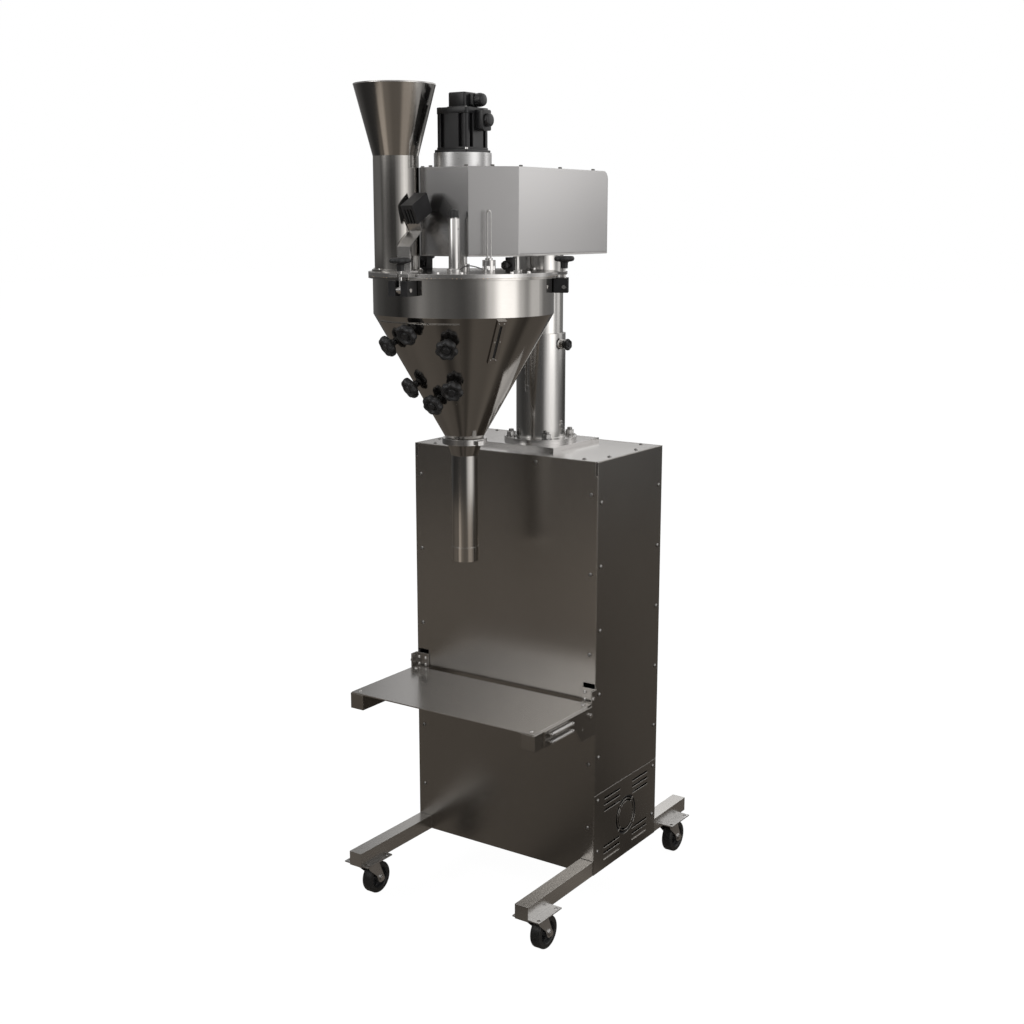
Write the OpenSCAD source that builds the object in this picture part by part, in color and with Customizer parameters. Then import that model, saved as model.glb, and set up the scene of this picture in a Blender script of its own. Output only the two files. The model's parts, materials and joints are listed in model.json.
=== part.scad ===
// Semi-automatic powder filling machine: a hopper with an auger under a head box,
// on a telescoping column over a cabinet on four swivel casters.
// Lengths are millimetres. X runs across the cabinet, Y from front to back, Z up.
// Shapes are placed from the middle of the cabinet's front face at floor level,
// and placed() then moves them so that the whole machine is centred over the origin.

/* [Cabinet] */
// Width of the cabinet
cab_w = 504; // [460:1:560]
// Depth of the cabinet
cab_d = 290; // [280:1:340]
// Height of the cabinet's top above the floor
cab_top = 1061.5; // [1000:0.5:1160]
// Thickness of the side, front and back sheets
sheet_t = 1.5; // [1:0.1:2.5]
// Thickness of the top plate
top_t = 3; // [2:0.5:5]
// Width of the folded lip round the top plate
lip_w = 6; // [4:0.5:10]
// Gap at a seam between two sheets
seam = 0.5; // [0.3:0.1:1]
// Height of the seam above the vent panel
vent_top = 290; // [285:1:320]
// Leg length of the angles in the inner frame
angle_w = 25; // [23:1:32]
// Thickness of the angles in the inner frame
angle_t = 3; // [2:0.5:4]
// Diameter of a sheet screw's head
screw_head_d = 9; // [7:0.5:11]
// Height of a sheet screw's head
screw_head_h = 3; // [2:0.5:4]
// Diameter of a sheet screw's shank
screw_d = 5; // [3:0.5:6]

/* [Base frame] */
// Side of the square leg tube
leg_s = 34; // [28:1:36]
// Wall of the leg tube
leg_wall = 2.5; // [1.5:0.5:4]
// Reach of the legs in front of the cabinet
leg_front = 270; // [265:1:330]
// Reach of the legs behind the cabinet
leg_rear = 163.5; // [150:0.5:220]
// Thickness of the cabinet's floor pan
pan_t = 2; // [1.5:0.5:3]

/* [Casters] */
// Diameter of a wheel
wheel_d = 76; // [70:1:90]
// Width of a wheel
wheel_w = 25; // [20:1:28]
// Height from the top of a wheel to the underside of a leg tube
caster_rise = 20; // [18:0.5:26]
// Distance from the swivel axis to the wheel's axle
trail = 26; // [20:1:30]
// Diameter of the wheel's axle
axle_d = 8; // [6:0.5:10]
// Width of a caster's plate, across the leg
plate_w = 70; // [60:1:76]
// Length of a caster's plate, along the leg
plate_l = 90; // [80:1:100]
// Thickness of a caster's plate
plate_t = 3; // [2:0.5:4]
// Diameter of a hole in a caster's plate
plate_hole_d = 8; // [6:0.5:9]
// Distance of a caster's axis from the cabinet's side
caster_in = 13; // [10:1:20]
// Distance of the front swivel axes ahead of the cabinet
caster_front = 216; // [200:1:220]
// Distance of the rear swivel axes behind the cabinet
caster_rear = 98.5; // [95:0.5:110]
// Thickness of the fork's legs
fork_t = 2.5; // [2:0.5:3]
// Radial clearance of a turning fit
run_gap = 0.05; // [0.02:0.01:0.1]

/* [Vent and fan] */
// Distance of the fan's axis behind the cabinet's front
fan_y = 147; // [140:1:150]
// Height of the fan's axis
fan_z = 195; // [190:1:200]
// Side of the square fan frame
fan_s = 92; // [92:1:100]
// Depth of the fan frame
fan_depth = 25; // [20:1:32]
// Diameter of the fan frame's air opening
fan_bore = 86; // [80:1:88]
// Number of fan blades
fan_blades = 7; // [5:1:9]
// Height of one vent slot
slot_h = 5; // [4:0.5:7]
// Distance between vent slots
slot_pitch = 15; // [12:0.5:15]

/* [Shelf] */
// Height of the shelf's top above the floor
shelf_top = 515; // [480:1:600]
// Thickness of the shelf plate
shelf_t = 3; // [2:0.5:5]
// Width of the shelf plate
shelf_w = 500; // [450:1:506]
// Distance of the shelf's front edge from the cabinet
shelf_out = 250; // [220:1:260]
// Gap between the shelf plate and the cabinet
shelf_gap = 15; // [8:1:30]
// Side of the square shelf arm
arm_s = 36; // [30:1:38]
// Wall of the shelf arm
arm_wall = 2; // [1.5:0.5:3]
// Thickness of the arm's bracket plates
bracket_t = 3; // [2:0.5:4]
// Height of the arm's bracket plates
bracket_h = 105; // [95:1:120]
// Outer diameter of a shelf spring
spring_d = 9; // [7:0.5:10]
// Wire diameter of a shelf spring
spring_wire = 1.6; // [1.2:0.1:2]
// Distance between the pegs of a shelf spring
peg_span = 82; // [70:1:100]
// Diameter of a spring peg
peg_d = 6; // [5:0.5:7]

/* [Column] */
// Distance of the column's axis behind the cabinet's front
col_y = 156; // [150:1:170]
// Outer diameter of the outer column
col_d = 114.3; // [105:0.1:118]
// Wall of the outer column
col_wall = 6; // [4:0.5:8]
// Height of the outer column above its base plate
col_h = 250; // [235:1:280]
// Radial clearance between the columns
slide_gap = 0.35; // [0.3:0.05:0.5]
// Wall of the inner column
inner_wall = 5; // [3:0.5:6]
// Length of the inner column
inner_len = 430.5; // [425:0.5:480]
// Travel of the head up from its lowest place
lift = 110; // [80:1:112]
// Side of the square base plate
base_s = 200; // [190:1:220]
// Thickness of the base plate
base_t = 10; // [8:1:14]
// Diameter of the round flange on the base plate
flange_d = 170; // [164:1:180]
// Thickness of the round flange
flange_t = 10; // [8:1:14]
// Diameter of the column bolts' circle
bolt_pcd = 140; // [138:1:146]
// Shank diameter of a column bolt
bolt_d = 12; // [10:1:12]
// Width of the key slot in the outer column
key_w = 12; // [8:1:14]
// Diameter of the lock knob on the column
lock_d = 27; // [24:1:34]

/* [Head] */
// Height of the head box with its base plate
head_h = 182; // [160:1:220]
// Width of the head box
head_w = 270; // [260:1:300]
// Width of the head's front face
nose_w = 120; // [115:1:140]
// Distance of the head's front face from the cabinet's front
head_out = 211; // [210:1:230]
// Distance of the head's rear face behind the cabinet's front
head_back = 222.5; // [218:0.5:250]
// Thickness of the head cover's sheet
cover_t = 2; // [1.5:0.5:3]
// Thickness of the head's base plate
head_base_t = 4; // [3:0.5:8]
// Radius of the cover's rear top corner
cover_r = 18; // [8:1:30]
// Diameter of the motor adapter on the head
adapter_d = 121; // [120:1:130]
// Height of the motor adapter
adapter_h = 29; // [20:1:35]
// Side of the motor's flange
motor_flange = 86; // [84:1:90]
// Side of the motor's finned body
motor_s = 80; // [74:1:84]
// Height of the motor's finned body
motor_h = 85; // [70:1:110]
// Side of the encoder cap
encoder_s = 44; // [40:1:60]
// Height of the encoder cap
encoder_h = 31; // [25:1:40]

/* [Hopper] */
// Distance of the auger's axis ahead of the cabinet's front
auger_out = 146; // [144:1:150]
// Gap between the lid and the head
lid_gap = 32; // [30:1:36]
// Thickness of the lid
lid_t = 8; // [6:1:10]
// Diameter of the lid and the rim
lid_d = 403; // [398:1:412]
// Overhang of the rim round the bowl
rim_out = 9; // [8:0.5:11]
// Height of the bowl's straight wall below the rim
bowl_h = 75; // [72:1:100]
// Thickness of the bowl's rim
rim_t = 5; // [4:0.5:6]
// Height of the cone
cone_h = 270; // [262:1:290]
// Outer diameter at the cone's foot
cone_d = 80; // [76:1:84]
// Wall of the bowl, the cone and the spout
bowl_wall = 2; // [1.5:0.5:3]
// Diameter of the clamp ring under the cone
ring_d = 97; // [96:1:104]
// Outer diameter of the spout tube
spout_d = 58; // [54:1:64]
// Length of the spout below the cone
spout_len = 268; // [240:1:300]
// Height of the collar at the spout's end
collar_h = 32; // [20:1:40]
// Outer diameter of the collar at the spout's end
collar_d = 61; // [60:0.5:68]
// Diameter of the drive shaft
shaft_d = 16; // [14:1:18]
// Radial clearance round the auger's screw
screw_gap = 2; // [1:0.5:3]
// Pitch of the auger's screw
screw_pitch = 40; // [30:1:60]
// Thickness of the agitator's flat bar
blade_t = 5; // [4:0.5:8]
// Width of the agitator's flat bar
blade_w = 14; // [10:1:20]

/* [Feed funnel] */
// Distance of the feed tube to the left of the auger
feed_x = 116; // [112:1:118]
// Distance of the feed tube in front of the auger
feed_y = 79; // [78:1:82]
// Outer diameter of the feed tube
feed_d = 96; // [90:1:98]
// Height of the feed tube above the lid
feed_h = 237; // [225:1:280]
// Outer diameter of the funnel's rim
funnel_d = 173; // [150:1:190]
// Height of the funnel's cone
funnel_h = 145; // [120:1:180]

/* [Lid fittings] */
// Diameter of the level tube
level_d = 24; // [20:1:28]
// Height of the level tube
level_h = 109; // [90:1:140]
// Diameter of the probe's hub
probe_d = 27; // [22:1:32]
// Height of the probe's wire loop above the lid
loop_h = 127; // [90:1:150]
// Width of the probe's wire loop
loop_w = 12; // [10:1:16]
// Wire diameter of the loop
loop_wire = 3; // [2:0.5:4]
// Diameter of a post between the lid and the head
post_d = 14; // [10:1:16]
// Width of the sensor's bracket
strip_w = 33; // [26:1:33]
// Thickness of the sensor's bracket
strip_t = 3; // [2:0.5:4]
// Height of the bracket's upright foot
strip_foot_h = 53; // [45:1:60]
// Rise of the bracket's slanted middle
strip_rise = 31; // [25:1:40]
// Set-back of the bracket's slanted middle
strip_back = 41; // [30:1:44]
// Height of the bracket's leaning top
strip_top_h = 26; // [20:1:34]
// Width of the sensor's box
sensor_w = 30; // [24:1:34]
// Length of the sensor's box
sensor_l = 56; // [50:1:62]
// Height of the sensor's box
sensor_h = 42; // [34:1:48]
// Tilt of the sensor and the bracket's top
sensor_tilt = 28; // [20:1:30]

/* [Clamps and hatch] */
// Distance of a swing bolt's axis outside the lid's edge
clamp_out = 12.5; // [11.5:0.5:14.5]
// Diameter of a swing bolt
swing_d = 8; // [6:0.5:9]
// Diameter of a clamp knob
clamp_knob_d = 46; // [36:1:48]
// Diameter of a hatch knob
hatch_knob_d = 48; // [40:1:50]
// Standing height of a hatch knob
hatch_knob_h = 30; // [24:1:34]
// Half angle of the hatch round the cone
hatch_half = 33.5; // [32:0.5:36]
// Half angle of the opening behind the hatch
opening_half = 18; // [14:0.5:19]
// Thickness of the hatch
hatch_t = 2.5; // [2:0.5:3]
// Diameter of a hatch stud
stud_d = 8; // [6:0.5:9]
// Width of the sight gauge
gauge_w = 20; // [16:1:24]
// Thickness of the sight gauge
gauge_t = 4; // [3:0.5:6]

/* [Hidden] */
$fn = 64;
eps = 0.01;
soft_gap = 0.3;

// Colours of the finishes
steel = [0.55, 0.54, 0.52];
bright = [0.78, 0.78, 0.77];
dark = [0.32, 0.31, 0.30];
black = [0.08, 0.08, 0.08];

// The floor under the wheels is at zero; the legs stand on the casters.
leg_z = wheel_d + caster_rise;
leg_top = leg_z + leg_s;
in_x = cab_w / 2 - sheet_t;
in_y = cab_d - sheet_t;
rail_top = cab_top - top_t;

bowl_d = lid_d - 2 * rim_out;
clamp_r = lid_d / 2 + clamp_out;

// The machine is centred from its front clamp knob to the ends of its rear legs.
front_reach = auger_out + clamp_r + clamp_knob_d / 2;
rear_reach = cab_d + leg_rear;
cab_y = (front_reach - rear_reach) / 2;

// Rows of sheet screws: shares of the height from the legs to the top
front_screw_k = [0.086, 0.251, 0.53, 0.728, 0.921];
side_screw_k = [0.268, 0.429, 0.589, 0.747, 0.902];
screw_in = 15.5;
side_screw_in = 14;
top_screw_drop = 14.5;
top_row_x = 90;
top_corner_in = 45.5;
top_end_in = 18;
top_side_pitch = 120;
screw_slip = 0.25;

// Fan, vents and grille
fan_gap = 0.4;
fan_hub_d = 34;
fan_pin_d = 6;
ring_inner = [33, 37];
ring_outer = [40, 46.5];
vent_y = [45, 249];
vent_clear = 52;
vent_middle = 58;
vent_rows = [3, 4, 5];

// Electrical plate, and the width, depth and height of what it carries
plate_rise = 70;
plate_len = 500;
mount_t = 2;
drive_in = 95;
box_drop = 70;
rail_rise = 60;
drive_box = [85, 160, 190];
supply_box = [120, 110, 150];
rail_box = [380, 50, 60];

// Shelf arms and brackets
arm_top = shelf_top - shelf_t;
arm_x1 = cab_w / 2 + 1;
arm_x0 = arm_x1 - arm_s;
cheek_x = arm_x1 + bracket_t;
bracket_z0 = arm_top - 70;
bracket_out = 22;
cheek_out = shelf_out - 35;
peg_y = cheek_out - 20;
peg_z = [arm_top - 11, arm_top - 28];
peg_len = 10;
hook_r = peg_d / 2 + soft_gap + spring_wire / 2;
relief_w = 4.5;
relief_h = 31;
hook_slot_w = 31;
hook_slot_h = 15;
hook_slot_z = bracket_z0 + bracket_h - 5;

// Column
base_z = cab_top + base_t;
flange_z = base_z + flange_t;
inner_d = col_d - 2 * col_wall - 2 * slide_gap;
key_h = 12;
key_gap = 0.3;
slot_z1 = base_z + col_h - 6;
slot_z0 = slot_z1 - lift - key_h - 4;
lock_z = base_z + col_h - 25;
lock_boss_d = 22;
lock_boss_h = 7;
lock_screw_d = 8;
lock_head_h = 14;
fitting_z = base_z + 36;
bearer_w = 40;
bearer_h = 30;
bolt_r = bolt_pcd / 2;

// Head
head_z = base_z + inner_len;
head_top = head_z + head_h;
chamfer = (head_w - nose_w) / 2;
housing_d = adapter_d - 11;
housing_gap = 1;
motor_z = head_top + adapter_h;
motor_flange_t = 6;
shaft_top = head_top - 44;
motor_groove_w = 10;
motor_groove_in = 23;
motor_groove_t = 9;
connector_d = 22;
cap_screw_d = 8;
cap_screw_h = 4;
cap_in = 14;

// Hopper
auger_y = -auger_out;
lid_top = head_z - lid_gap;
lid_z = lid_top - lid_t;
rim_z = lid_z - rim_t;
cone_top = rim_z - bowl_h;
cone_foot = cone_top - cone_h;
slope = (bowl_d - cone_d) / 2 / cone_h;
slope_a = atan(slope);
ferrule_t = 4;
ferrule_d = cone_d + 8;
spout_top = cone_foot - ferrule_t - 0.5;
spout_foot = cone_foot - 8 - spout_len + ferrule_t + 0.5;
spout_cone_h = 32;
hub_d = 26;
hub_h = 15;
flight_r = spout_d / 2 - bowl_wall - screw_gap;
agitator_foot = cone_foot + 22;
agitator_top = cone_top + 40;
agitator_gap = 10;
collar_w = 34;

// Feed funnel
feed_c = [-feed_x, auger_y - feed_y];
feed_slip = 0.1;

// Lid fittings
level_c = [46, -head_out - level_d / 2 - 17];
probe_c = [110, -head_out + 3];
post_x = head_w / 2 - 11;
post_y = auger_y + 18;
strip_c = [-52.5, auger_y - lid_d / 2 + 64.5];
strip_bend_z = strip_foot_h + strip_rise;
strip_sole = 26;
strip_tab = 14;
sensor_ahead = 19.5;
sensor_slot_t = 3;

// Clamps
clamp_angles = [-90, 30, 150];
pivot_z = rim_z - 19;
lug_w = 50;
lug_t = 6;
lug_out = 6;
base_block_w = 49;
base_block_h = 32;
base_block_drop = 12;
base_block_out = 9;
eye_d = 16;
eye_w = 13;
clamp_stem_z = lid_top + 6;
clamp_head_z = lid_top + 20;
clamp_head_h = 12;

// Hatch: the angle and height of each stud
hatch_rise = 83;
hatch_drop = 13;
hatch_z0 = cone_foot + hatch_rise;
hatch_z1 = cone_top - hatch_drop;
opening_z0 = hatch_z0 + 27;
opening_z1 = hatch_z1 - 27;
stud_side = hatch_half - 8.5;
stud_end = 11;
stud_drop = 40;
stud_rise = 44;
stud_at = [
    [-90 - stud_side, hatch_z1 - stud_drop], [-90, hatch_z1 - stud_end],
    [-90 + stud_side, hatch_z1 - stud_drop], [-90 + stud_side, hatch_z0 + stud_rise],
    [-90, hatch_z0 + stud_end], [-90 - stud_side, hatch_z0 + stud_rise]
];
stud_len = 18;
gauge_len = 104;
gauge_a = -30;

// Radius of the cone's outer face at a height
function cone_r(z) = cone_d / 2 + (z - cone_foot) * slope;

module placed() {
    translate([0, cab_y, 0]) children();
}

module at_auger() {
    placed() translate([0, auger_y, 0]) children();
}

// Puts children on the cone with +Z square to its face
module on_cone(angle, z) {
    at_auger() rotate([0, 0, angle]) translate([cone_r(z), 0, z]) rotate([0, 90 + slope_a, 0]) children();
}

// Puts children at a lid clamp with +X pointing out of the bowl
module at_clamp(i) {
    at_auger() rotate([0, 0, clamp_angles[i]]) translate([clamp_r, 0, 0]) children();
}

module both_sides() {
    children();
    mirror([1, 0, 0]) children();
}

module box(x0, x1, y0, y1, z0, z1) {
    translate([x0, y0, z0]) cube([x1 - x0, y1 - y0, z1 - z0]);
}

module tube(h, r1, r0) {
    difference() {
        cylinder(h = h, r = r1);
        translate([0, 0, -eps]) cylinder(h = h + 2 * eps, r = r0);
    }
}

function screw_z(k) = leg_top + k * (cab_top - leg_top);

// Screw places: each puts its children with +Z out of the sheet
module front_screws() {
    for (k = front_screw_k, s = [-1, 1])
        translate([s * (in_x - screw_in), 0, screw_z(k)]) rotate([90, 0, 0]) children();
    for (s = [-1, 1])
        translate([s * top_row_x, 0, cab_top - top_screw_drop]) rotate([90, 0, 0]) children();
}

module back_screws() {
    translate([0, cab_d, 0]) mirror([0, 1, 0]) front_screws() children();
}

module right_screws() {
    for (k = side_screw_k, y = [sheet_t + side_screw_in, in_y - side_screw_in])
        translate([cab_w / 2, y, screw_z(k)]) rotate([0, 90, 0]) children();
}

module left_screws() {
    mirror([1, 0, 0]) right_screws() children();
}

module vent_screws() {
    for (y = [sheet_t + side_screw_in, in_y - side_screw_in], z = [leg_top + 20, vent_top - 15])
        translate([cab_w / 2, y, z]) rotate([0, 90, 0]) children();
}

module top_screws() {
    for (s = [-1, 0, 1], y = [top_end_in, cab_d - top_end_in])
        if (s != 0 || y > col_y) translate([s * (in_x - top_corner_in), y, cab_top]) children();
    for (s = [-1, 1], y = [col_y - top_side_pitch / 2 - 21, col_y + top_side_pitch / 2 - 21])
        translate([s * (in_x - screw_in), y, cab_top]) children();
}

module screw_hole(depth) {
    translate([0, 0, -depth]) cylinder(h = depth + 1, d = screw_d + 2 * screw_slip);
}

module sheet_screw(t) {
    cylinder(h = screw_head_h, d = screw_head_d);
    translate([0, 0, -t - angle_t + 0.2]) cylinder(h = t + angle_t, d = screw_d);
}

// Places of the column bolts on their circle
module column_bolts() {
    for (a = [45, 135, 225, 315])
        translate([bolt_r * cos(a), col_y + bolt_r * sin(a), 0]) children();
}

// Legs welded to a floor pan and two cross members
module base_frame() {
    color(steel) placed() {
        difference() {
            union() {
                both_sides() box(in_x - leg_s, in_x, -leg_front, cab_d + leg_rear, leg_z, leg_top);
                for (y = [sheet_t + seam, in_y - seam - leg_s])
                    box(-in_x + leg_s / 2, in_x - leg_s / 2, y, y + leg_s, leg_z, leg_top);
                box(-in_x + leg_s / 2, in_x - leg_s / 2, sheet_t + seam, in_y - seam,
                    leg_top - pan_t, leg_top);
            }
            both_sides()
                box(in_x - leg_s + leg_wall, in_x - leg_wall, leg_wall - leg_front,
                    cab_d + leg_rear - leg_wall, leg_z + leg_wall, leg_top - leg_wall);
            // Wiring holes from the legs' insides
            both_sides() translate([in_x - leg_s - 1, cab_d / 2, (leg_z + leg_top) / 2])
                rotate([0, 90, 0]) cylinder(h = leg_wall + 2, d = 12);
        }
    }
}

// One angle with its corner at the origin, its legs along +X and +Y
module angle_bar(h) {
    linear_extrude(h) polygon([
        [0, 0], [angle_w, 0], [angle_w, angle_t], [angle_t, angle_t], [angle_t, angle_w], [0, angle_w]
    ]);
}

// Corner angles, top rails and the bearers under the column
module inner_frame() {
    color(steel) placed() difference() {
        union() {
            both_sides() {
                translate([-in_x, sheet_t, leg_top]) angle_bar(rail_top - leg_top);
                translate([-in_x, in_y, leg_top]) mirror([0, 1, 0]) angle_bar(rail_top - leg_top);
                box(in_x - angle_w, in_x, sheet_t, in_y, rail_top - angle_t, rail_top);
                box(in_x - angle_t, in_x, sheet_t, in_y, rail_top - angle_w, rail_top);
            }
            box(-in_x, in_x, sheet_t, sheet_t + angle_w, rail_top - angle_t, rail_top);
            box(-in_x, in_x, sheet_t, sheet_t + angle_t, rail_top - angle_w, rail_top);
            box(-in_x, in_x, in_y - angle_w, in_y, rail_top - angle_t, rail_top);
            box(-in_x, in_x, in_y - angle_t, in_y, rail_top - angle_w, rail_top);
            for (s = [-1, 1])
                translate([0, col_y + s * bolt_r * sin(45), 0])
                    box(-in_x, in_x, -bearer_w / 2, bearer_w / 2, rail_top - bearer_h, rail_top);
        }
        front_screws() screw_hole(sheet_t + angle_t + 1);
        back_screws() screw_hole(sheet_t + angle_t + 1);
        left_screws() screw_hole(sheet_t + angle_t + 1);
        right_screws() screw_hole(sheet_t + angle_t + 1);
        vent_screws() screw_hole(sheet_t + angle_t + 1);
        top_screws() screw_hole(top_t + bearer_h + 1);
        column_bolts() translate([0, 0, rail_top - bearer_h - 1])
            cylinder(h = bearer_h + 2, d = bolt_d + 2 * screw_slip);
        both_sides() hook_slot();
    }
}

// Slot over a shelf arm, through the front sheet and the angle behind it
module hook_slot() {
    box(in_x - hook_slot_w, in_x - 1, -1, sheet_t + angle_t + 1, hook_slot_z, hook_slot_z + hook_slot_h);
}

module front_sheet() {
    box(-in_x, in_x, 0, sheet_t, leg_z, cab_top);
    box(lip_w - cab_w / 2 + seam, cab_w / 2 - lip_w - seam, 0, lip_w, cab_top - sheet_t, cab_top);
}

// Notches that let the leg tubes through a sheet
module leg_notches() {
    both_sides() box(in_x - leg_s - seam, in_x + 1, -1, sheet_t + 1, leg_z - 1, leg_top + seam);
}

module front_panel() {
    color(dark) placed() difference() {
        front_sheet();
        leg_notches();
        front_screws() screw_hole(sheet_t + 1);
        both_sides() hook_slot();
        both_sides() box(in_x - relief_w, in_x + 1, -1, lip_w + 1, cab_top - relief_h, cab_top + 1);
    }
}

module back_panel() {
    color(dark) placed() translate([0, cab_d, 0]) mirror([0, 1, 0]) difference() {
        front_sheet();
        leg_notches();
        front_screws() screw_hole(sheet_t + 1);
        both_sides() box(in_x - relief_w - seam, in_x + 1, -1, sheet_t + 1,
            cab_top - sheet_t - seam, cab_top + 1);
    }
}

module side_sheet(z0) {
    box(in_x, cab_w / 2, 0, cab_d, z0, cab_top);
    box(cab_w / 2 - lip_w, cab_w / 2, 0, cab_d, cab_top - sheet_t, cab_top);
}

module left_panel() {
    color(dark) placed() mirror([1, 0, 0]) difference() {
        side_sheet(leg_z);
        right_screws() screw_hole(sheet_t + 1);
    }
}

module right_panel() {
    color(dark) placed() difference() {
        side_sheet(vent_top + seam);
        right_screws() screw_hole(sheet_t + 1);
    }
}

// Outline of one ring of the grille, broken by four bridges
module grille_ring(r) {
    difference() {
        circle(r = r[1]);
        circle(r = r[0]);
        for (a = [45, 135])
            rotate(a) square([2 * r[1] + 2, 5], center = true);
    }
}

// Lower right sheet with the fan's grille and four groups of slots
module vent_panel() {
    color(dark) placed() difference() {
        box(in_x, cab_w / 2, 0, cab_d, leg_z, vent_top - seam);
        translate([in_x - 1, fan_y, fan_z]) rotate([90, 0, 90]) linear_extrude(sheet_t + 2) {
            grille_ring(ring_inner);
            grille_ring(ring_outer);
            for (k = vent_rows, s = [-1, 1])
                difference() {
                    translate([vent_y[0] - fan_y, s * k * slot_pitch - slot_h / 2])
                        square([vent_y[1] - vent_y[0], slot_h]);
                    circle(r = vent_clear);
                    square([vent_middle, 4 * fan_s], center = true);
                }
        }
        vent_screws() screw_hole(sheet_t + 1);
    }
}

module top_plate() {
    color(steel) placed() difference() {
        box(lip_w + seam - cab_w / 2, cab_w / 2 - lip_w - seam, lip_w + seam, cab_d - lip_w - seam,
            rail_top, cab_top);
        top_screws() screw_hole(top_t + 1);
        column_bolts() translate([0, 0, rail_top - 1]) cylinder(h = top_t + 2, d = bolt_d + 2 * screw_slip);
    }
}

// Sheet screws, top screws and the four column bolts with their nuts' studs
module base_fasteners() {
    color(bright) placed() {
        front_screws() sheet_screw(sheet_t);
        back_screws() sheet_screw(sheet_t);
        left_screws() sheet_screw(sheet_t);
        right_screws() sheet_screw(sheet_t);
        vent_screws() sheet_screw(sheet_t);
        top_screws() sheet_screw(top_t);
        column_bolts() {
            translate([0, 0, flange_z]) cylinder(h = 2, d = 2 * bolt_d);
            translate([0, 0, flange_z + 2]) cylinder(h = 9, d = 1.85 * bolt_d, $fn = 6);
            translate([0, 0, rail_top - bearer_h])
                cylinder(h = flange_z - rail_top + bearer_h + 17, d = bolt_d);
        }
    }
}

// Square fan frame behind the grille, with its spokes and pin
module fan_frame() {
    color(black) placed() translate([in_x - fan_gap - fan_depth, fan_y, fan_z]) rotate([90, 0, 90]) {
        difference() {
            linear_extrude(fan_depth) square(fan_s, center = true);
            translate([0, 0, -1]) cylinder(h = fan_depth + 2, d = fan_bore);
        }
        cylinder(h = 4, d = fan_hub_d);
        cylinder(h = fan_depth - 3, d = fan_pin_d);
        for (a = [0, 120, 240])
            rotate([0, 0, a]) translate([0, -2.5, 0]) cube([fan_bore / 2 + 1, 5, 4]);
    }
}

// Rotor with straight pitched blades
module fan_rotor() {
    rotor_h = fan_depth - 10;
    color(black) placed() translate([in_x - fan_gap - fan_depth + 4.5, fan_y, fan_z]) rotate([90, 0, 90])
        difference() {
            union() {
                cylinder(h = rotor_h, d = fan_hub_d);
                for (i = [0 : fan_blades - 1])
                    rotate([0, 0, i * 360 / fan_blades]) translate([fan_hub_d / 2 - 2, 0, rotor_h / 2])
                        rotate([35, 0, 0]) translate([0, -9, -1])
                            cube([fan_bore / 2 - fan_hub_d / 2 - 1, 18, 2]);
            }
            translate([0, 0, -1]) cylinder(h = rotor_h + 2, d = fan_pin_d + 2 * run_gap);
        }
}

// Plate across the rear angles, with the drive, a power supply and a terminal rail
module electrical_plate() {
    plate_y = in_y - angle_t;
    low = vent_top + plate_rise;
    high = low + plate_len;
    box_top = high - box_drop;
    color(steel) placed() {
        box(angle_t + 0.5 - in_x, in_x - angle_t - 0.5, plate_y - mount_t, plate_y, low, high);
        translate([0, plate_y - mount_t - soft_gap, 0]) {
            translate([-drive_in - drive_box[0], -drive_box[1], box_top - drive_box[2]]) cube(drive_box);
            translate([-supply_box[0] / 2, -supply_box[1], box_top - supply_box[2]]) cube(supply_box);
            translate([-rail_box[0] / 2, -rail_box[1], low + rail_rise]) cube(rail_box);
        }
    }
}

// Square plate with a round flange that the column stands in
module column_base() {
    color(bright) placed() translate([0, col_y, 0]) difference() {
        union() {
            translate([-base_s / 2, -base_s / 2, cab_top]) cube([base_s, base_s, base_t]);
            translate([0, 0, base_z - eps]) cylinder(h = flange_t + eps, d = flange_d);
        }
        translate([0, 0, base_z]) cylinder(h = flange_t + 1, d = col_d + 0.2);
        translate([0, -col_y, 0]) column_bolts() translate([0, 0, cab_top - 1])
            cylinder(h = base_t + flange_t + 2, d = bolt_d + 2 * screw_slip);
    }
}

// Outer column with its key slot, the lock's boss and a small cable fitting
module outer_column() {
    wall_x = col_d / 2;
    color(bright) placed() translate([0, col_y, 0]) difference() {
        union() {
            translate([0, 0, base_z]) cylinder(h = col_h, d = col_d);
            translate([wall_x - 3, 0, lock_z]) rotate([0, 90, 0])
                cylinder(h = lock_boss_h + 3, d = lock_boss_d);
            translate([wall_x - 2, 0, fitting_z]) rotate([0, 90, 0]) {
                cylinder(h = 5, d = 13);
                for (s = [-1, 1]) translate([s * 8, 0, 0]) cylinder(h = 4.5, d = 9);
            }
        }
        translate([0, 0, base_z - 1]) cylinder(h = col_h + 2, d = col_d - 2 * col_wall);
        box(-key_w / 2, key_w / 2, -wall_x - 1, -wall_x + col_wall + 2, slot_z0, slot_z1);
        translate([wall_x - col_wall - 1, 0, lock_z]) rotate([0, 90, 0])
            cylinder(h = col_wall + lock_boss_h + 2, d = lock_screw_d + 2 * run_gap);
    }
}

// Knob whose screw presses on the inner column
module column_lock_knob() {
    tip = col_d / 2 - col_wall;
    face = col_d / 2 + lock_boss_h + soft_gap;
    color(black) placed() translate([0, col_y, lock_z]) rotate([0, 90, 0]) {
        translate([0, 0, tip]) cylinder(h = face - tip + 1, d = lock_screw_d);
        translate([0, 0, face]) star_knob(lock_d, lock_head_h, 6);
    }
}

// Round knob with grip lobes, standing on the XY plane
module star_knob(d, h, lobes) {
    lobe = 0.2 * d;
    difference() {
        cylinder(h = h, d = d);
        for (i = [0 : lobes - 1])
            rotate([0, 0, (i + 0.5) * 360 / lobes]) translate([d / 2 + lobe * 0.25, 0, -1])
                cylinder(h = h + 2, r = lobe * 0.8);
    }
}

module shelf_plate() {
    color(bright) placed()
        box(-shelf_w / 2, shelf_w / 2, -shelf_out, -shelf_gap, arm_top, shelf_top);
}

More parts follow.
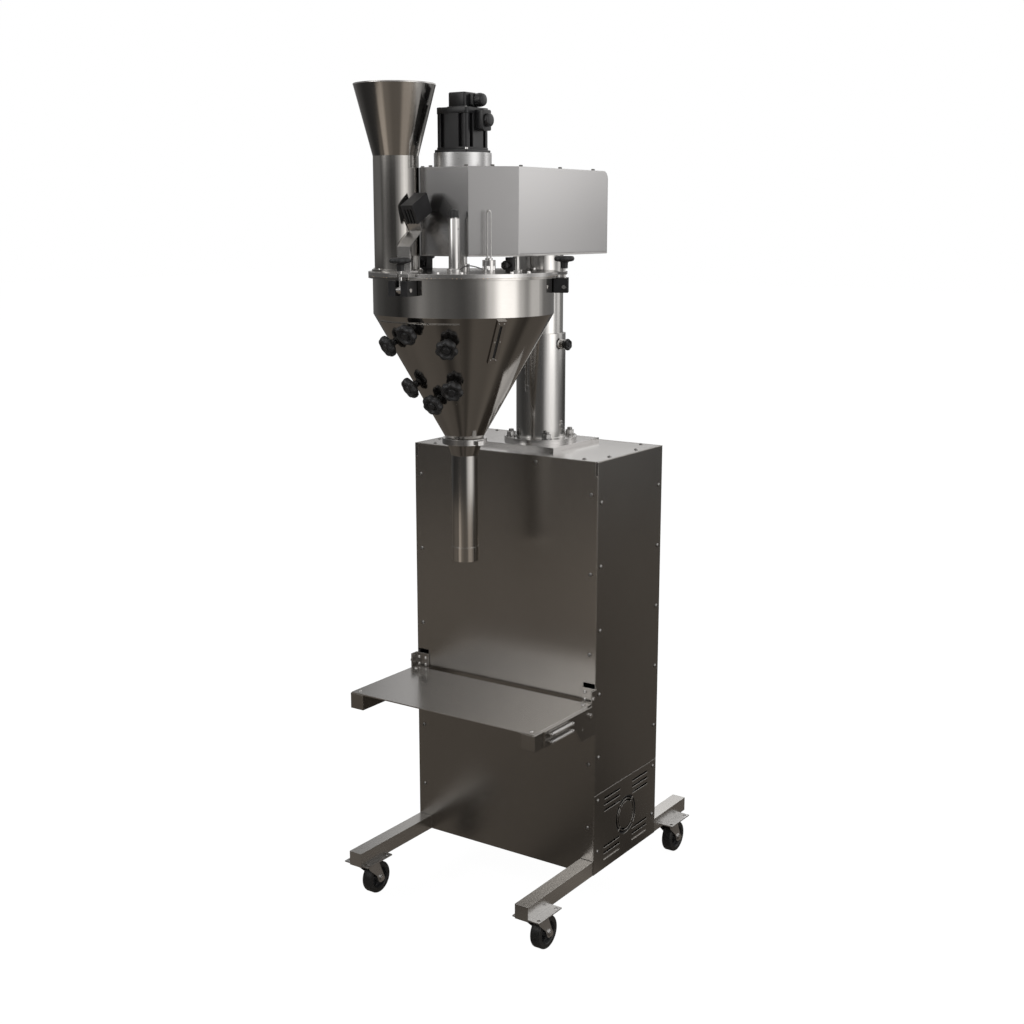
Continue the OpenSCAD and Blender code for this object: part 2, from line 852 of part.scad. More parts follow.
// Square arm with its front plate, its cheek and the spring pegs
module right_arm() {
    difference() {
        union() {
            box(arm_x0, arm_x1, -shelf_out, 0, arm_top - arm_s, arm_top);
            box(arm_x0, cheek_x, -bracket_t, 0, bracket_z0, bracket_z0 + bracket_h);
            translate([arm_x1, 0, 0]) rotate([90, 0, 90]) linear_extrude(bracket_t) polygon([
                [0, bracket_z0], [0, bracket_z0 + bracket_h], [-bracket_out, bracket_z0 + bracket_h],
                [-bracket_out, arm_top], [-cheek_out, arm_top], [-cheek_out, arm_top - arm_s],
                [-4 * bracket_out, arm_top - arm_s], [-3 * bracket_out, bracket_z0]
            ]);
            for (y = [peg_y, peg_y - peg_span], z = peg_z)
                translate([cheek_x - 1, -y, z]) rotate([0, 90, 0]) cylinder(h = peg_len + 1, d = peg_d);
        }
        box(arm_x0 + arm_wall, arm_x1 - arm_wall, -shelf_out + arm_wall, 1,
            arm_top - arm_s + arm_wall, arm_top - arm_wall);
        translate([arm_x1 - 1, -62, arm_top - arm_s - 4])
            rotate([0, 90, 0]) cylinder(h = bracket_t + 2, d = 6);
    }
}

module shelf_arms() {
    color(steel) placed() both_sides() right_arm();
}

// Closely wound tension spring between two pegs, drawn as a ribbed rod with end rings
module shelf_spring(y, z) {
    body = peg_span - 2 * hook_r;
    ribs = floor(body / spring_wire / 2);
    step = body / ribs;
    r = spring_d / 2;
    ring_x = cheek_x + peg_len / 2;
    translate([ring_x, -y + hook_r, z]) rotate([-90, 0, 0]) rotate_extrude() polygon([
        [0, 0],
        for (i = [0 : ribs - 1], k = [0, 0.5]) [k == 0 ? r - spring_wire / 2 : r, (i + k) * step],
        [r - spring_wire / 2, body], [0, body]
    ]);
    for (py = [-y, -y + peg_span])
        translate([ring_x, py, z]) rotate([0, 90, 0]) rotate_extrude()
            translate([hook_r, 0]) circle(d = spring_wire, $fn = 24);
}

module shelf_springs() {
    color(bright) placed() both_sides() for (z = peg_z) shelf_spring(peg_y, z);
}

// Swivel axes: the sign of X, and the place along Y
function caster_x(s) = s * (cab_w / 2 - caster_in);
function caster_y(rear) = rear ? cab_d + caster_rear : -caster_front;

module at_caster(s, rear) {
    placed() translate([caster_x(s), caster_y(rear), 0]) children();
}

fork_top = leg_z - plate_t - soft_gap;
fork_disc_t = 8;
king_d = 12;
fork_disc_z = fork_top - fork_disc_t;

// Plates under the legs, with four holes and the king pin of the swivel
module caster_plates() {
    color(bright) for (s = [-1, 1], rear = [false, true]) at_caster(s, rear) {
        difference() {
            translate([-plate_w / 2, -plate_l / 2, leg_z - plate_t]) cube([plate_w, plate_l, plate_t]);
            for (x = [-1, 1], y = [-1, 1])
                translate([x * (plate_w / 2 - 8), y * (plate_l / 2 - 10), leg_z - plate_t - 1])
                    cylinder(h = plate_t + 2, d = plate_hole_d);
        }
        translate([0, 0, fork_disc_z - 0.5]) cylinder(h = fork_disc_t + 1.5, d = king_d);
        translate([0, 0, fork_disc_z - soft_gap - 3]) cylinder(h = 3, d = king_d + 8);
        translate([0, 0, fork_disc_z - soft_gap - 1]) cylinder(h = 2, d = king_d);
    }
}

// Swivel head, two legs and the axle bolt
module caster_fork(s, rear) {
    gap = wheel_w / 2 + 1.6;
    axle_z = wheel_d / 2;
    color(bright) at_caster(s, rear) {
        difference() {
            union() {
                translate([0, 0, fork_disc_z]) cylinder(h = fork_disc_t, d = 50);
                for (m = [-1, 1]) translate([m * (gap + fork_t / 2), 0, 0])
                    rotate([90, 0, 90]) linear_extrude(fork_t, center = true) {
                        polygon([[-19, fork_disc_z + 2], [19, fork_disc_z + 2],
                            [trail + 11, axle_z + 2], [trail + 11, axle_z], [trail - 11, axle_z]]);
                        translate([trail, axle_z]) circle(r = 11);
                    }
            }
            translate([0, 0, fork_disc_z - 1]) cylinder(h = fork_disc_t + 2, d = king_d + 2 * run_gap);
            translate([-30, trail, axle_z]) rotate([0, 90, 0]) cylinder(h = 60, d = axle_d + 0.1);
        }
        translate([-gap - fork_t, trail, axle_z]) rotate([0, 90, 0])
            cylinder(h = 2 * (gap + fork_t), d = axle_d);
        for (m = [0, 1]) mirror([m, 0, 0]) translate([gap + fork_t, trail, axle_z])
            rotate([0, 90, 0]) cylinder(h = 5, d = 15, $fn = 6);
    }
}

module caster_wheel(s, rear) {
    rim = 4;
    half = wheel_w / 2;
    tread = wheel_d / 2;
    color(black) at_caster(s, rear) translate([0, trail, tread]) rotate([0, 90, 0]) rotate_extrude($fn = 96)
        union() {
            translate([axle_d / 2 + run_gap, -half - 1]) square([6, wheel_w + 2]);
            translate([axle_d / 2 + run_gap + 1, -4]) square([tread - axle_d / 2 - 8, 8]);
            translate([tread - 14, rim - half]) square([14, wheel_w - 2 * rim]);
            translate([tread - 14, -half]) square([14 - rim, wheel_w]);
            for (m = [-1, 1]) translate([tread - rim, m * (half - rim)]) circle(r = rim);
        }
}

// Outline of the head in plan, shrunk by a wall
module head_plan(in = 0) {
    x1 = head_w / 2 - in;
    x0 = nose_w / 2 - in * tan(22.5);
    polygon([
        [-x0, in - head_out], [x0, in - head_out], [x1, chamfer - head_out + in * tan(22.5)],
        [x1, head_back - in], [-x1, head_back - in], [-x1, chamfer - head_out + in * tan(22.5)]
    ]);
}

// Side profile of the cover with its rounded rear top corner, shrunk by a wall
module cover_profile(in = 0) {
    z0 = head_z + head_base_t - (in > 0 ? 1 : 0);
    z1 = head_top - in;
    y1 = head_back - in;
    r = cover_r - in;
    translate([-head_out - 1, z0]) square([y1 - r + head_out + 1, z1 - z0]);
    translate([y1 - r - 1, z0]) square([r + 1, z1 - r - z0]);
    translate([y1 - r, z1 - r]) circle(r = r);
}

module cover_solid(in = 0) {
    intersection() {
        translate([0, 0, head_z]) linear_extrude(head_h + 2) head_plan(in);
        translate([-head_w, 0, 0]) rotate([90, 0, 90]) linear_extrude(2 * head_w) cover_profile(in);
    }
}

module head_cap_screws() {
    y0 = chamfer - head_out;
    for (s = [-1, 1]) {
        for (y = [y0 + 2 * cap_in, (y0 + head_back) / 2, head_back - 3 * cap_in])
            translate([s * (head_w / 2 - cap_in), y, head_top]) children();
        translate([s * (nose_w + chamfer - cap_in) / 2, (chamfer + cap_in) / 2 - head_out, head_top])
            children();
        translate([s * (nose_w / 2 - cap_in), cap_in - head_out, head_top]) children();
    }
}

module inner_column() {
    color(bright) placed() translate([0, col_y, base_z]) {
        tube(inner_len, inner_d / 2, inner_d / 2 - inner_wall);
        translate([0, 0, slot_z0 - base_z + 1]) intersection() {
            tube(key_h, col_d / 2 - 1, inner_d / 2 - 2);
            translate([key_gap - key_w / 2, -col_d, 0]) cube([key_w - 2 * key_gap, col_d, key_h]);
        }
    }
}

module head_base() {
    color(steel) placed() difference() {
        translate([0, 0, head_z]) linear_extrude(head_base_t) head_plan();
        translate([0, auger_y, head_z - 1]) cylinder(h = head_base_t + 2, d = hub_d + 6);
    }
}

module head_cover() {
    color(bright) placed() difference() {
        cover_solid();
        cover_solid(cover_t);
        translate([0, auger_y, head_top - 20]) cylinder(h = 30, d = housing_d + 2 * housing_gap);
        head_cap_screws() screw_hole(cover_t + 2);
    }
}

module head_screws() {
    color(bright) placed() head_cap_screws() {
        cylinder(h = cap_screw_h, d = cap_screw_d);
        translate([0, 0, -cover_t - 4]) cylinder(h = cover_t + 4, d = screw_d);
    }
}

// Bearing and gear housing inside the head, with the motor's adapter on top
module drive_housing() {
    color(bright) at_auger() difference() {
        union() {
            translate([0, 0, head_z + head_base_t]) cylinder(h = head_h - head_base_t, d = housing_d);
            translate([0, 0, head_top]) cylinder(h = adapter_h, d = adapter_d);
        }
        translate([0, 0, head_z]) cylinder(h = shaft_top - head_z + 1, d = shaft_d + 2 * run_gap);
    }
}

// Servo motor: flange, finned body, encoder cap and two round connectors
module servo_motor() {
    body_z = motor_z + motor_flange_t;
    cap_z = body_z + motor_h;
    color(black) at_auger() {
        difference() {
            union() {
                translate([-motor_flange / 2, -motor_flange / 2, motor_z])
                    cube([motor_flange, motor_flange, motor_flange_t]);
                translate([-motor_s / 2, -motor_s / 2, body_z - eps]) cube([motor_s, motor_s, motor_h + eps]);
            }
            for (a = [0, 90, 180, 270], i = [-1, 1])
                rotate([0, 0, a])
                    translate([i * motor_groove_in - motor_groove_w / 2, motor_s / 2 - motor_groove_t, body_z])
                        cube([motor_groove_w, motor_groove_t + 1, motor_h - 6]);
        }
        translate([-encoder_s / 2, -encoder_s / 2, cap_z]) cube([encoder_s, encoder_s, encoder_h]);
        translate([motor_s / 2, -12, body_z + motor_h / 4]) cube([16, 24, 34]);
        translate([motor_s / 2 + 16, 0, body_z + motor_h / 2])
            rotate([0, 90, 0]) cylinder(h = 14, d = connector_d);
        translate([encoder_s / 2, 0, cap_z + encoder_h / 2])
            rotate([0, 90, 0]) cylinder(h = 26, d = connector_d);
    }
}

// Forked lug on the lid for one swing bolt
module lid_lug() {
    difference() {
        box(-26, lug_out, -lug_w / 2, lug_w / 2, lid_top - lug_t, lid_top);
        box(-5, lug_out + 1, -swing_d / 2 - 1, swing_d / 2 + 1, lid_top - lug_t - 1, lid_top + 1);
        translate([-5, 0, lid_top - lug_t - 1]) cylinder(h = lug_t + 2, r = swing_d / 2 + 1);
    }
}

module lid() {
    color(bright) {
        difference() {
            union() {
                at_auger() translate([0, 0, lid_z]) cylinder(h = lid_t, d = lid_d, $fn = 128);
                at_auger() translate([0, 0, lid_top - eps]) cylinder(h = hub_h + eps, d = hub_d);
                for (i = [0 : 2]) at_clamp(i) lid_lug();
            }
            at_auger() translate([0, 0, lid_z - 1])
                cylinder(h = lid_t + hub_h + 2, d = shaft_d + 2 * run_gap);
            placed() translate([feed_c[0], feed_c[1], lid_z - 1])
                cylinder(h = lid_t + 2, d = feed_d + 2 * feed_slip);
        }
    }
}

// Posts that carry the lid under the head
module lid_posts() {
    color(bright) placed() both_sides() translate([post_x, post_y, lid_top]) {
        cylinder(h = lid_gap, d = post_d);
        cylinder(h = 3, d = post_d + 10);
    }
}

// Feed tube through the lid with its funnel, turned in one piece
module feed_funnel() {
    r = feed_d / 2;
    z1 = lid_top + feed_h;
    z2 = z1 + funnel_h;
    w = bowl_wall;
    color(bright) placed() translate([feed_c[0], feed_c[1], 0]) rotate_extrude($fn = 128) polygon([
        [r - w, lid_z], [r, lid_z], [r, lid_top], [r + 6, lid_top], [r + 6, lid_top + 4], [r, lid_top + 4],
        [r, z1], [funnel_d / 2, z2], [funnel_d / 2 - w, z2], [r - w, z1]
    ]);
}

module level_tube() {
    color(bright) placed() translate([level_c[0], level_c[1], lid_top]) {
        cylinder(h = 8, d = level_d + 8);
        cylinder(h = level_h, d = level_d);
        translate([0, 0, level_h]) cylinder(h = 18, d = level_d - 6);
    }
}

// Hub with an upright wire loop
module probe() {
    r = (loop_w - loop_wire) / 2;
    color(bright) placed() translate([probe_c[0], probe_c[1], lid_top]) {
        cylinder(h = 26, d = probe_d);
        for (s = [-1, 1]) translate([s * r, 0, 25]) cylinder(h = loop_h - loop_w / 2 - 25, d = loop_wire);
        translate([0, 0, loop_h - loop_w / 2]) rotate([90, 0, 0]) rotate_extrude(angle = 180)
            translate([r, 0]) circle(d = loop_wire, $fn = 24);
    }
}

// A point of the bracket's profile: back and up in the tilted frame at its second bend
function tilted(v, u) = [
    strip_back + v * cos(sensor_tilt) - u * sin(sensor_tilt),
    strip_bend_z + v * sin(sensor_tilt) + u * cos(sensor_tilt)
];

// Flat strip with a sole on the lid, bent back, then up to a tab under the sensor
module sensor_bracket() {
    t = strip_t;
    h = strip_top_h;
    color(bright) placed() translate([strip_c[0] - strip_w / 2, strip_c[1], lid_top])
        rotate([90, 0, 90]) linear_extrude(strip_w) polygon([
            [0, 0], [0, strip_foot_h], [strip_back, strip_bend_z], tilted(0, h), tilted(strip_tab, h),
            tilted(strip_tab, h - t), tilted(t, h - t), tilted(t, 0), [t, strip_foot_h], [t, t],
            [strip_sole, t], [strip_sole, 0]
        ]);
}

// Box of the sensor on the bracket's tab, with slots in its front end
module sensor_box() {
    low = strip_top_h + soft_gap;
    pitch = sensor_w / 4;
    color(black) placed() translate([strip_c[0], strip_c[1] + strip_back, lid_top + strip_bend_z])
        rotate([sensor_tilt, 0, 0]) difference() {
            box(0, sensor_w, -sensor_ahead, sensor_l - sensor_ahead, low, low + sensor_h);
            for (i = [1 : 3])
                translate([i * pitch - sensor_slot_t / 2, -sensor_ahead - 1, low - 1])
                    cube([sensor_slot_t, 5, 0.8 * sensor_h]);
        }
}

// Rim, straight wall, cone and foot of the bowl, with the hatch opening and its studs
module bowl() {
    r = bowl_d / 2;
    f = cone_d / 2;
    w = bowl_wall;
    dw = w / cos(slope_a);
    color(steel) {
        at_auger() difference() {
            rotate_extrude($fn = 128) polygon([
                [f - w, cone_foot - ferrule_t], [ferrule_d / 2, cone_foot - ferrule_t],
                [ferrule_d / 2, cone_foot], [f, cone_foot], [r, cone_top], [r, rim_z],
                [lid_d / 2, rim_z], [lid_d / 2, lid_z], [r - w, lid_z],
                [r - w, cone_top], [f - w, cone_foot + (dw - w) / slope]
            ]);
            rotate([0, 0, -90 - opening_half]) translate([0, 0, opening_z0])
                rotate_extrude(angle = 2 * opening_half) square([bowl_d, opening_z1 - opening_z0]);
        }
        for (p = stud_at) on_cone(p[0], p[1])
            translate([0, 0, -w / 2]) cylinder(h = stud_len + w / 2, d = stud_d);
    }
}

// Curved plate over the opening
module hatch() {
    dr = soft_gap / cos(slope_a);
    dt = (soft_gap + hatch_t) / cos(slope_a);
    color(bright) difference() {
        at_auger() rotate([0, 0, -90 - hatch_half]) rotate_extrude(angle = 2 * hatch_half, $fn = 128)
            polygon([
                [cone_r(hatch_z0) + dr, hatch_z0], [cone_r(hatch_z0) + dt, hatch_z0],
                [cone_r(hatch_z1) + dt, hatch_z1], [cone_r(hatch_z1) + dr, hatch_z1]
            ]);
        for (p = stud_at) on_cone(p[0], p[1]) cylinder(h = 12, d = stud_d + 1);
    }
}

// Knob on one hatch stud
module hatch_knob(i) {
    seat = hatch_t + 2 * soft_gap + 0.4;
    head_h = 13;
    color(black) on_cone(stud_at[i][0], stud_at[i][1]) difference() {
        union() {
            translate([0, 0, seat]) cylinder(h = hatch_knob_h - seat, d = 22);
            translate([0, 0, hatch_knob_h - head_h]) star_knob(hatch_knob_d, head_h, 6);
        }
        translate([0, 0, seat - 1]) cylinder(h = stud_len - seat + 1.5, d = stud_d + 2 * run_gap);
    }
}

// Sight gauge: a slotted bar along the cone with its screws
module gauge() {
    mid = cone_top - 4 - gauge_len / 2 * cos(slope_a);
    color(bright) on_cone(gauge_a, mid) translate([0, 0, soft_gap]) {
        difference() {
            box(-gauge_len / 2, gauge_len / 2, -gauge_w / 2, gauge_w / 2, 0, gauge_t);
            box(-gauge_len / 2 + 12, gauge_len / 2 - 12, -3, 3, gauge_t - 2, gauge_t + 1);
        }
        for (x = [-1, 0, 1], y = [-1, 1])
            translate([x * (gauge_len / 2 - 8), y * (gauge_w / 2 - 4), gauge_t]) cylinder(h = 1.5, d = 4);
    }
}

// Forked pivot blocks of the three swing bolts
module clamp_bases() {
    back = bowl_d / 2 + soft_gap - clamp_r;
    z0 = pivot_z - base_block_drop;
    z1 = min(z0 + base_block_h, rim_z - soft_gap);
    color(black) for (i = [0 : 2]) at_clamp(i) difference() {
        box(back, base_block_out, -base_block_w / 2, base_block_w / 2, z0, z1);
        box(-eye_d / 2 - 1, base_block_out + 1, -eye_w / 2 - soft_gap, eye_w / 2 + soft_gap, z0 - 1, rim_z);
        translate([0, -base_block_w, pivot_z]) rotate([-90, 0, 0])
            cylinder(h = 2 * base_block_w, d = swing_d + 0.1);
    }
}

// Eye bolt with its pivot pin
module swing_bolt(i) {
    color(bright) at_clamp(i) {
        translate([0, -base_block_w / 2 - 2, pivot_z]) rotate([-90, 0, 0])
            cylinder(h = base_block_w + 4, d = swing_d);
        translate([0, -eye_w / 2, pivot_z]) rotate([-90, 0, 0]) cylinder(h = eye_w, d = eye_d);
        translate([0, 0, pivot_z]) cylinder(h = clamp_head_z + clamp_head_h - 2 - pivot_z, d = swing_d);
    }
}

// Knob that screws down the swing bolt onto the lid's lug
module clamp_knob(i) {
    color(black) at_clamp(i) difference() {
        union() {
            translate([0, 0, clamp_stem_z]) cylinder(h = clamp_head_z - clamp_stem_z + 1, d = 16);
            translate([0, 0, clamp_head_z]) star_knob(clamp_knob_d, clamp_head_h, 5);
        }
        translate([0, 0, clamp_stem_z - 1])
            cylinder(h = clamp_head_z + clamp_head_h - clamp_stem_z, d = swing_d + 2 * run_gap);
    }
}

// Ring that clamps the spout's ferrule to the cone's
module spout_ring() {
    r = ring_d / 2;
    f = ferrule_d / 2 + 0.2;
    z0 = spout_top - ferrule_t;
    z1 = cone_foot;
    color(bright) at_auger() {
        rotate_extrude() polygon([
            [f - 2, z0 - 2.5], [r, z0 - 2.5], [r, z1 + 1.5], [f - 2, z1 + 1.5],
            [f - 2, z1 + 0.2], [f, z1 + 0.2], [f, z0 - 0.2], [f - 2, z0 - 0.2]
        ]);
        rotate([0, 0, -20]) box(r - 1, r + 14, -7, 7, z0 - 1, z1);
    }
}

// Short cone, spout tube and its end collar
module spout() {
    f = cone_d / 2;
    r = spout_d / 2;
    w = bowl_wall;
    z0 = spout_top - ferrule_t;
    z1 = z0 - spout_cone_h + ferrule_t;
    color(steel) at_auger() rotate_extrude() polygon([
        [f - w, spout_top], [ferrule_d / 2, spout_top], [ferrule_d / 2, z0], [f - 1, z0], [r, z1],
        [r, spout_foot + collar_h], [collar_d / 2, spout_foot + collar_h], [collar_d / 2, spout_foot],
        [r - w, spout_foot], [r - w, z1]
    ]);
}

// Drive shaft and the screw in the spout
module auger() {
    foot = spout_foot + 8;
    flight_h = spout_top - foot;
    color(bright) at_auger() {
        translate([0, 0, foot]) cylinder(h = shaft_top - foot, d = shaft_d);
        translate([0, 0, foot])
            linear_extrude(flight_h, twist = -360 * flight_h / screw_pitch, slices = 140, $fn = 8)
                translate([shaft_d / 2 - 1, -2]) square([flight_r - shaft_d / 2 + 1, 4]);
    }
}

// Two flat-bar frames on a collar, that sweep the cone
module agitator() {
    r0 = shaft_d / 2 + 2;
    ra = cone_r(agitator_foot) - bowl_wall - agitator_gap;
    rb = cone_r(cone_top) - bowl_wall - agitator_gap;
    za = agitator_foot + 4;
    zb = agitator_top;
    w = blade_w;
    color(bright) at_auger() {
        for (z = [agitator_foot, zb - collar_w]) translate([0, 0, z])
            tube(collar_w, shaft_d / 2 + 7, shaft_d / 2 + 0.1);
        for (m = [0, 180]) rotate([0, 0, m]) rotate([90, 0, 0]) linear_extrude(blade_t, center = true)
            difference() {
                polygon([[r0 + 2, za], [ra, za], [rb, cone_top], [rb, zb], [r0 + 2, zb]]);
                polygon([
                    [r0 - 2, za + w], [ra - w + w * slope, za + w],
                    [rb - w, cone_top], [rb - w, zb - w], [r0 - 2, zb - w]
                ]);
            }
    }
}

base_frame();
inner_frame();
front_panel();
back_panel();
left_panel();
right_panel();
vent_panel();
top_plate();
base_fasteners();
fan_frame();
fan_rotor();
electrical_plate();
column_base();
outer_column();
column_lock_knob();
shelf_plate();
shelf_arms();
shelf_springs();
caster_plates();
caster_fork(-1, false);  // caster_fork_fl
caster_fork(1, false);  // caster_fork_fr
caster_fork(-1, true);  // caster_fork_rl
caster_fork(1, true);  // caster_fork_rr
caster_wheel(-1, false);  // caster_wheel_fl
caster_wheel(1, false);  // caster_wheel_fr
caster_wheel(-1, true);  // caster_wheel_rl
caster_wheel(1, true);  // caster_wheel_rr
inner_column();
head_base();
head_cover();
head_screws();
drive_housing();
servo_motor();
lid();
lid_posts();
feed_funnel();
level_tube();
probe();
sensor_bracket();
sensor_box();
bowl();
hatch();
gauge();
clamp_bases();
spout_ring();
spout();
auger();
agitator();
swing_bolt(0);  // swing_bolt_1
swing_bolt(1);  // swing_bolt_2
swing_bolt(2);  // swing_bolt_3
clamp_knob(0);  // clamp_knob_1
clamp_knob(1);  // clamp_knob_2
clamp_knob(2);  // clamp_knob_3
hatch_knob(0);  // hatch_knob_1
hatch_knob(1);  // hatch_knob_2
hatch_knob(2);  // hatch_knob_3
hatch_knob(3);  // hatch_knob_4
hatch_knob(4);  // hatch_knob_5
hatch_knob(5);  // hatch_knob_6
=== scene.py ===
"""Looks of the powder filling machine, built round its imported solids. Lengths are metres."""
import json
import math

import bmesh
import bpy
from mathutils import Matrix, Vector


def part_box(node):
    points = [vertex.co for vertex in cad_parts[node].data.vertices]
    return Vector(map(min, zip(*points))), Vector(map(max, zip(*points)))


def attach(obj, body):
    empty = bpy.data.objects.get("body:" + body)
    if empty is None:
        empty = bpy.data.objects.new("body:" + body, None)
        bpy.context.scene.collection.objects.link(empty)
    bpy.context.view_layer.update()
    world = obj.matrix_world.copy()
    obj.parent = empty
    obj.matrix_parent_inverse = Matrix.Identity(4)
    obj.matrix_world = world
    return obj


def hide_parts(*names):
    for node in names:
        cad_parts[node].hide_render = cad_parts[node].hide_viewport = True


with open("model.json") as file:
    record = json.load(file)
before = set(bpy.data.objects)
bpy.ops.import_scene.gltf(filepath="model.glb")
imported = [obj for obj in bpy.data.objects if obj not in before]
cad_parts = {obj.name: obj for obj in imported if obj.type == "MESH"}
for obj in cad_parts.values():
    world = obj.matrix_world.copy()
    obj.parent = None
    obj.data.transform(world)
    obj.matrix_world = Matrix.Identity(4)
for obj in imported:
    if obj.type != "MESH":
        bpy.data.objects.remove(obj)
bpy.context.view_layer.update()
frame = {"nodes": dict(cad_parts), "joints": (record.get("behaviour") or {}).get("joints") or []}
nodes = frame["nodes"]

MM = 0.001
UP = Vector((0, 0, 1))

# Places read from the frame
front_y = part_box("front_panel")[0].y
auger_low, auger_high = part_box("auger")
auger = Vector(((auger_low.x + auger_high.x) / 2, (auger_low.y + auger_high.y) / 2, 0))
rim_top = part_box("bowl")[1].z
lid_rise = 8 * MM
lid_top = rim_top + lid_rise
column_low, column_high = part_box("inner_column")
column_back = 156 * MM
column = Vector(((column_low.x + column_high.x) / 2, front_y + column_back, 0))


# Camera, fitted to the photograph; its lens and sensor are in millimetres, its turns in degrees

lens = 50
sensor_width = 36
farthest = 60
camera_place = (1811.3 * MM, front_y - 2618.5 * MM, 1574.5 * MM)
camera_turn = 34.30
camera_pitch = 11.57
camera_data = bpy.data.cameras.new("view")
camera_data.lens = lens
camera_data.sensor_width = sensor_width
camera_data.clip_end = farthest
camera = bpy.data.objects.new("view", camera_data)
camera.location = camera_place
camera.rotation_euler = (math.radians(90 - camera_pitch), 0, math.radians(camera_turn))
bpy.context.scene.collection.objects.link(camera)
bpy.context.scene.camera = camera
bpy.context.scene.view_settings.view_transform = "Standard"


# Material helpers

def new_material(name):
    """A material with its node tree and its shader."""
    made = bpy.data.materials.new(name)
    made.use_nodes = True
    return made, made.node_tree, made.node_tree.nodes["Principled BSDF"]


def add_node(tree, kind, **values):
    """A node with settings and inputs given by name."""
    made = tree.nodes.new(kind)
    for key, value in values.items():
        if hasattr(made, key):
            setattr(made, key, value)
        else:
            made.inputs[key].default_value = value
    return made


def stretched_noise(tree, stretch, detail=3.0):
    """Noise in metres of the object's own place, stretched along an axis."""
    place = add_node(tree, "ShaderNodeTexCoord")
    mapping = add_node(tree, "ShaderNodeMapping")
    mapping.inputs["Scale"].default_value = stretch
    noise = add_node(tree, "ShaderNodeTexNoise", Scale=1.0, Detail=detail)
    tree.links.new(place.outputs["Object"], mapping.inputs["Vector"])
    tree.links.new(mapping.outputs["Vector"], noise.inputs["Vector"])
    return noise.outputs["Fac"]


# Noise lies mostly between these two values
noise_low = 0.3
noise_high = 0.7


def ramp(tree, factor, dark, light):
    """Colour from dark to light over the span of the noise."""
    made = add_node(tree, "ShaderNodeValToRGB")
    made.color_ramp.elements[0].position = noise_low
    made.color_ramp.elements[0].color = (*dark, 1)
    made.color_ramp.elements[1].position = noise_high
    made.color_ramp.elements[1].color = (*light, 1)
    tree.links.new(factor, made.inputs["Fac"])
    return made.outputs["Color"]


def ranged(tree, factor, low, high):
    """Value from low to high over the span of the noise."""
    made = add_node(tree, "ShaderNodeMapRange")
    made.inputs["From Min"].default_value = noise_low
    made.inputs["From Max"].default_value = noise_high
    made.inputs["To Min"].default_value = low
    made.inputs["To Max"].default_value = high
    tree.links.new(factor, made.inputs["Value"])
    return made.outputs["Result"]


def soft_edges(tree, radius):
    """Normals that are rounded at edges, as a folded or broken edge is."""
    made = add_node(tree, "ShaderNodeBevel", samples=4)
    made.inputs["Radius"].default_value = radius
    return made.outputs["Normal"]


def bumped(tree, factor, shader, strength, distance, normal):
    """Fine relief from a noise, on top of given normals."""
    made = add_node(tree, "ShaderNodeBump")
    made.inputs["Strength"].default_value = strength
    made.inputs["Distance"].default_value = distance
    tree.links.new(factor, made.inputs["Height"])
    tree.links.new(normal, made.inputs["Normal"])
    tree.links.new(made.outputs["Normal"], shader.inputs["Normal"])


def shade(colour, k):
    """A colour made k times as bright."""
    return tuple(min(1.0, c * k) for c in colour)


def steel(name, colour, rough, grain, spread=0.06, edge=0.8 * MM):
    """Stainless steel: a fine grain along one axis, and faint broad smudges in its gloss."""
    smudge_share = 0.45
    made, tree, shader = new_material(name)
    shader.inputs["Metallic"].default_value = 1.0
    lines = stretched_noise(tree, grain)
    smudge = stretched_noise(tree, (7, 7, 5), detail=5)
    both = add_node(tree, "ShaderNodeMath", operation="MULTIPLY_ADD")
    both.inputs[1].default_value = smudge_share
    tree.links.new(smudge, both.inputs[0])
    rest = add_node(tree, "ShaderNodeMath", operation="MULTIPLY")
    rest.inputs[1].default_value = 1 - smudge_share
    tree.links.new(lines, rest.inputs[0])
    tree.links.new(rest.outputs[0], both.inputs[2])
    tone = ramp(tree, both.outputs[0], shade(colour, 1 - spread), shade(colour, 1 + spread))
    tree.links.new(tone, shader.inputs["Base Color"])
    tree.links.new(ranged(tree, both.outputs[0], rough * 0.94, rough * 1.08), shader.inputs["Roughness"])
    bumped(tree, lines, shader, 0.03, 0.02 * MM, soft_edges(tree, edge))
    return made


def plastic(name, colour, rough, grain=1400, depth=0.12):
    """Moulded plastic, rubber or paint: an even fine grain with a faint mottle."""
    made, tree, shader = new_material(name)
    fine = stretched_noise(tree, (grain, grain, grain), detail=2)
    broad = stretched_noise(tree, (30, 30, 30), detail=4)
    tree.links.new(ramp(tree, broad, shade(colour, 0.8), shade(colour, 1.25)), shader.inputs["Base Color"])
    tree.links.new(ranged(tree, broad, rough * 0.88, min(1.0, rough * 1.12)), shader.inputs["Roughness"])
    bumped(tree, fine, shader, depth, 0.12 * MM, soft_edges(tree, 0.6 * MM))
    return made


# Brushed panel steel for the cabinet; its base colour is set darker than the other steels as painted shade,
# standing in for the dark room the panels mirror
PANEL_WITH_PAINTED_SHADE = steel("panel steel with painted shade", (0.36, 0.345, 0.325), 0.25, grain=(700, 700, 30), spread=0.035, edge=2.5 * MM)
SATIN = steel("satin steel", (0.56, 0.55, 0.54), 0.22, grain=(30, 900, 900))
HEAD = steel("head steel", (0.50, 0.495, 0.495), 0.20, grain=(30, 30, 900), spread=0.03, edge=2.5 * MM)
TOP = steel("top steel", (0.52, 0.51, 0.50), 0.24, grain=(30, 700, 700))
TUBE = steel("leg steel", (0.60, 0.59, 0.575), 0.26, grain=(700, 30, 700))
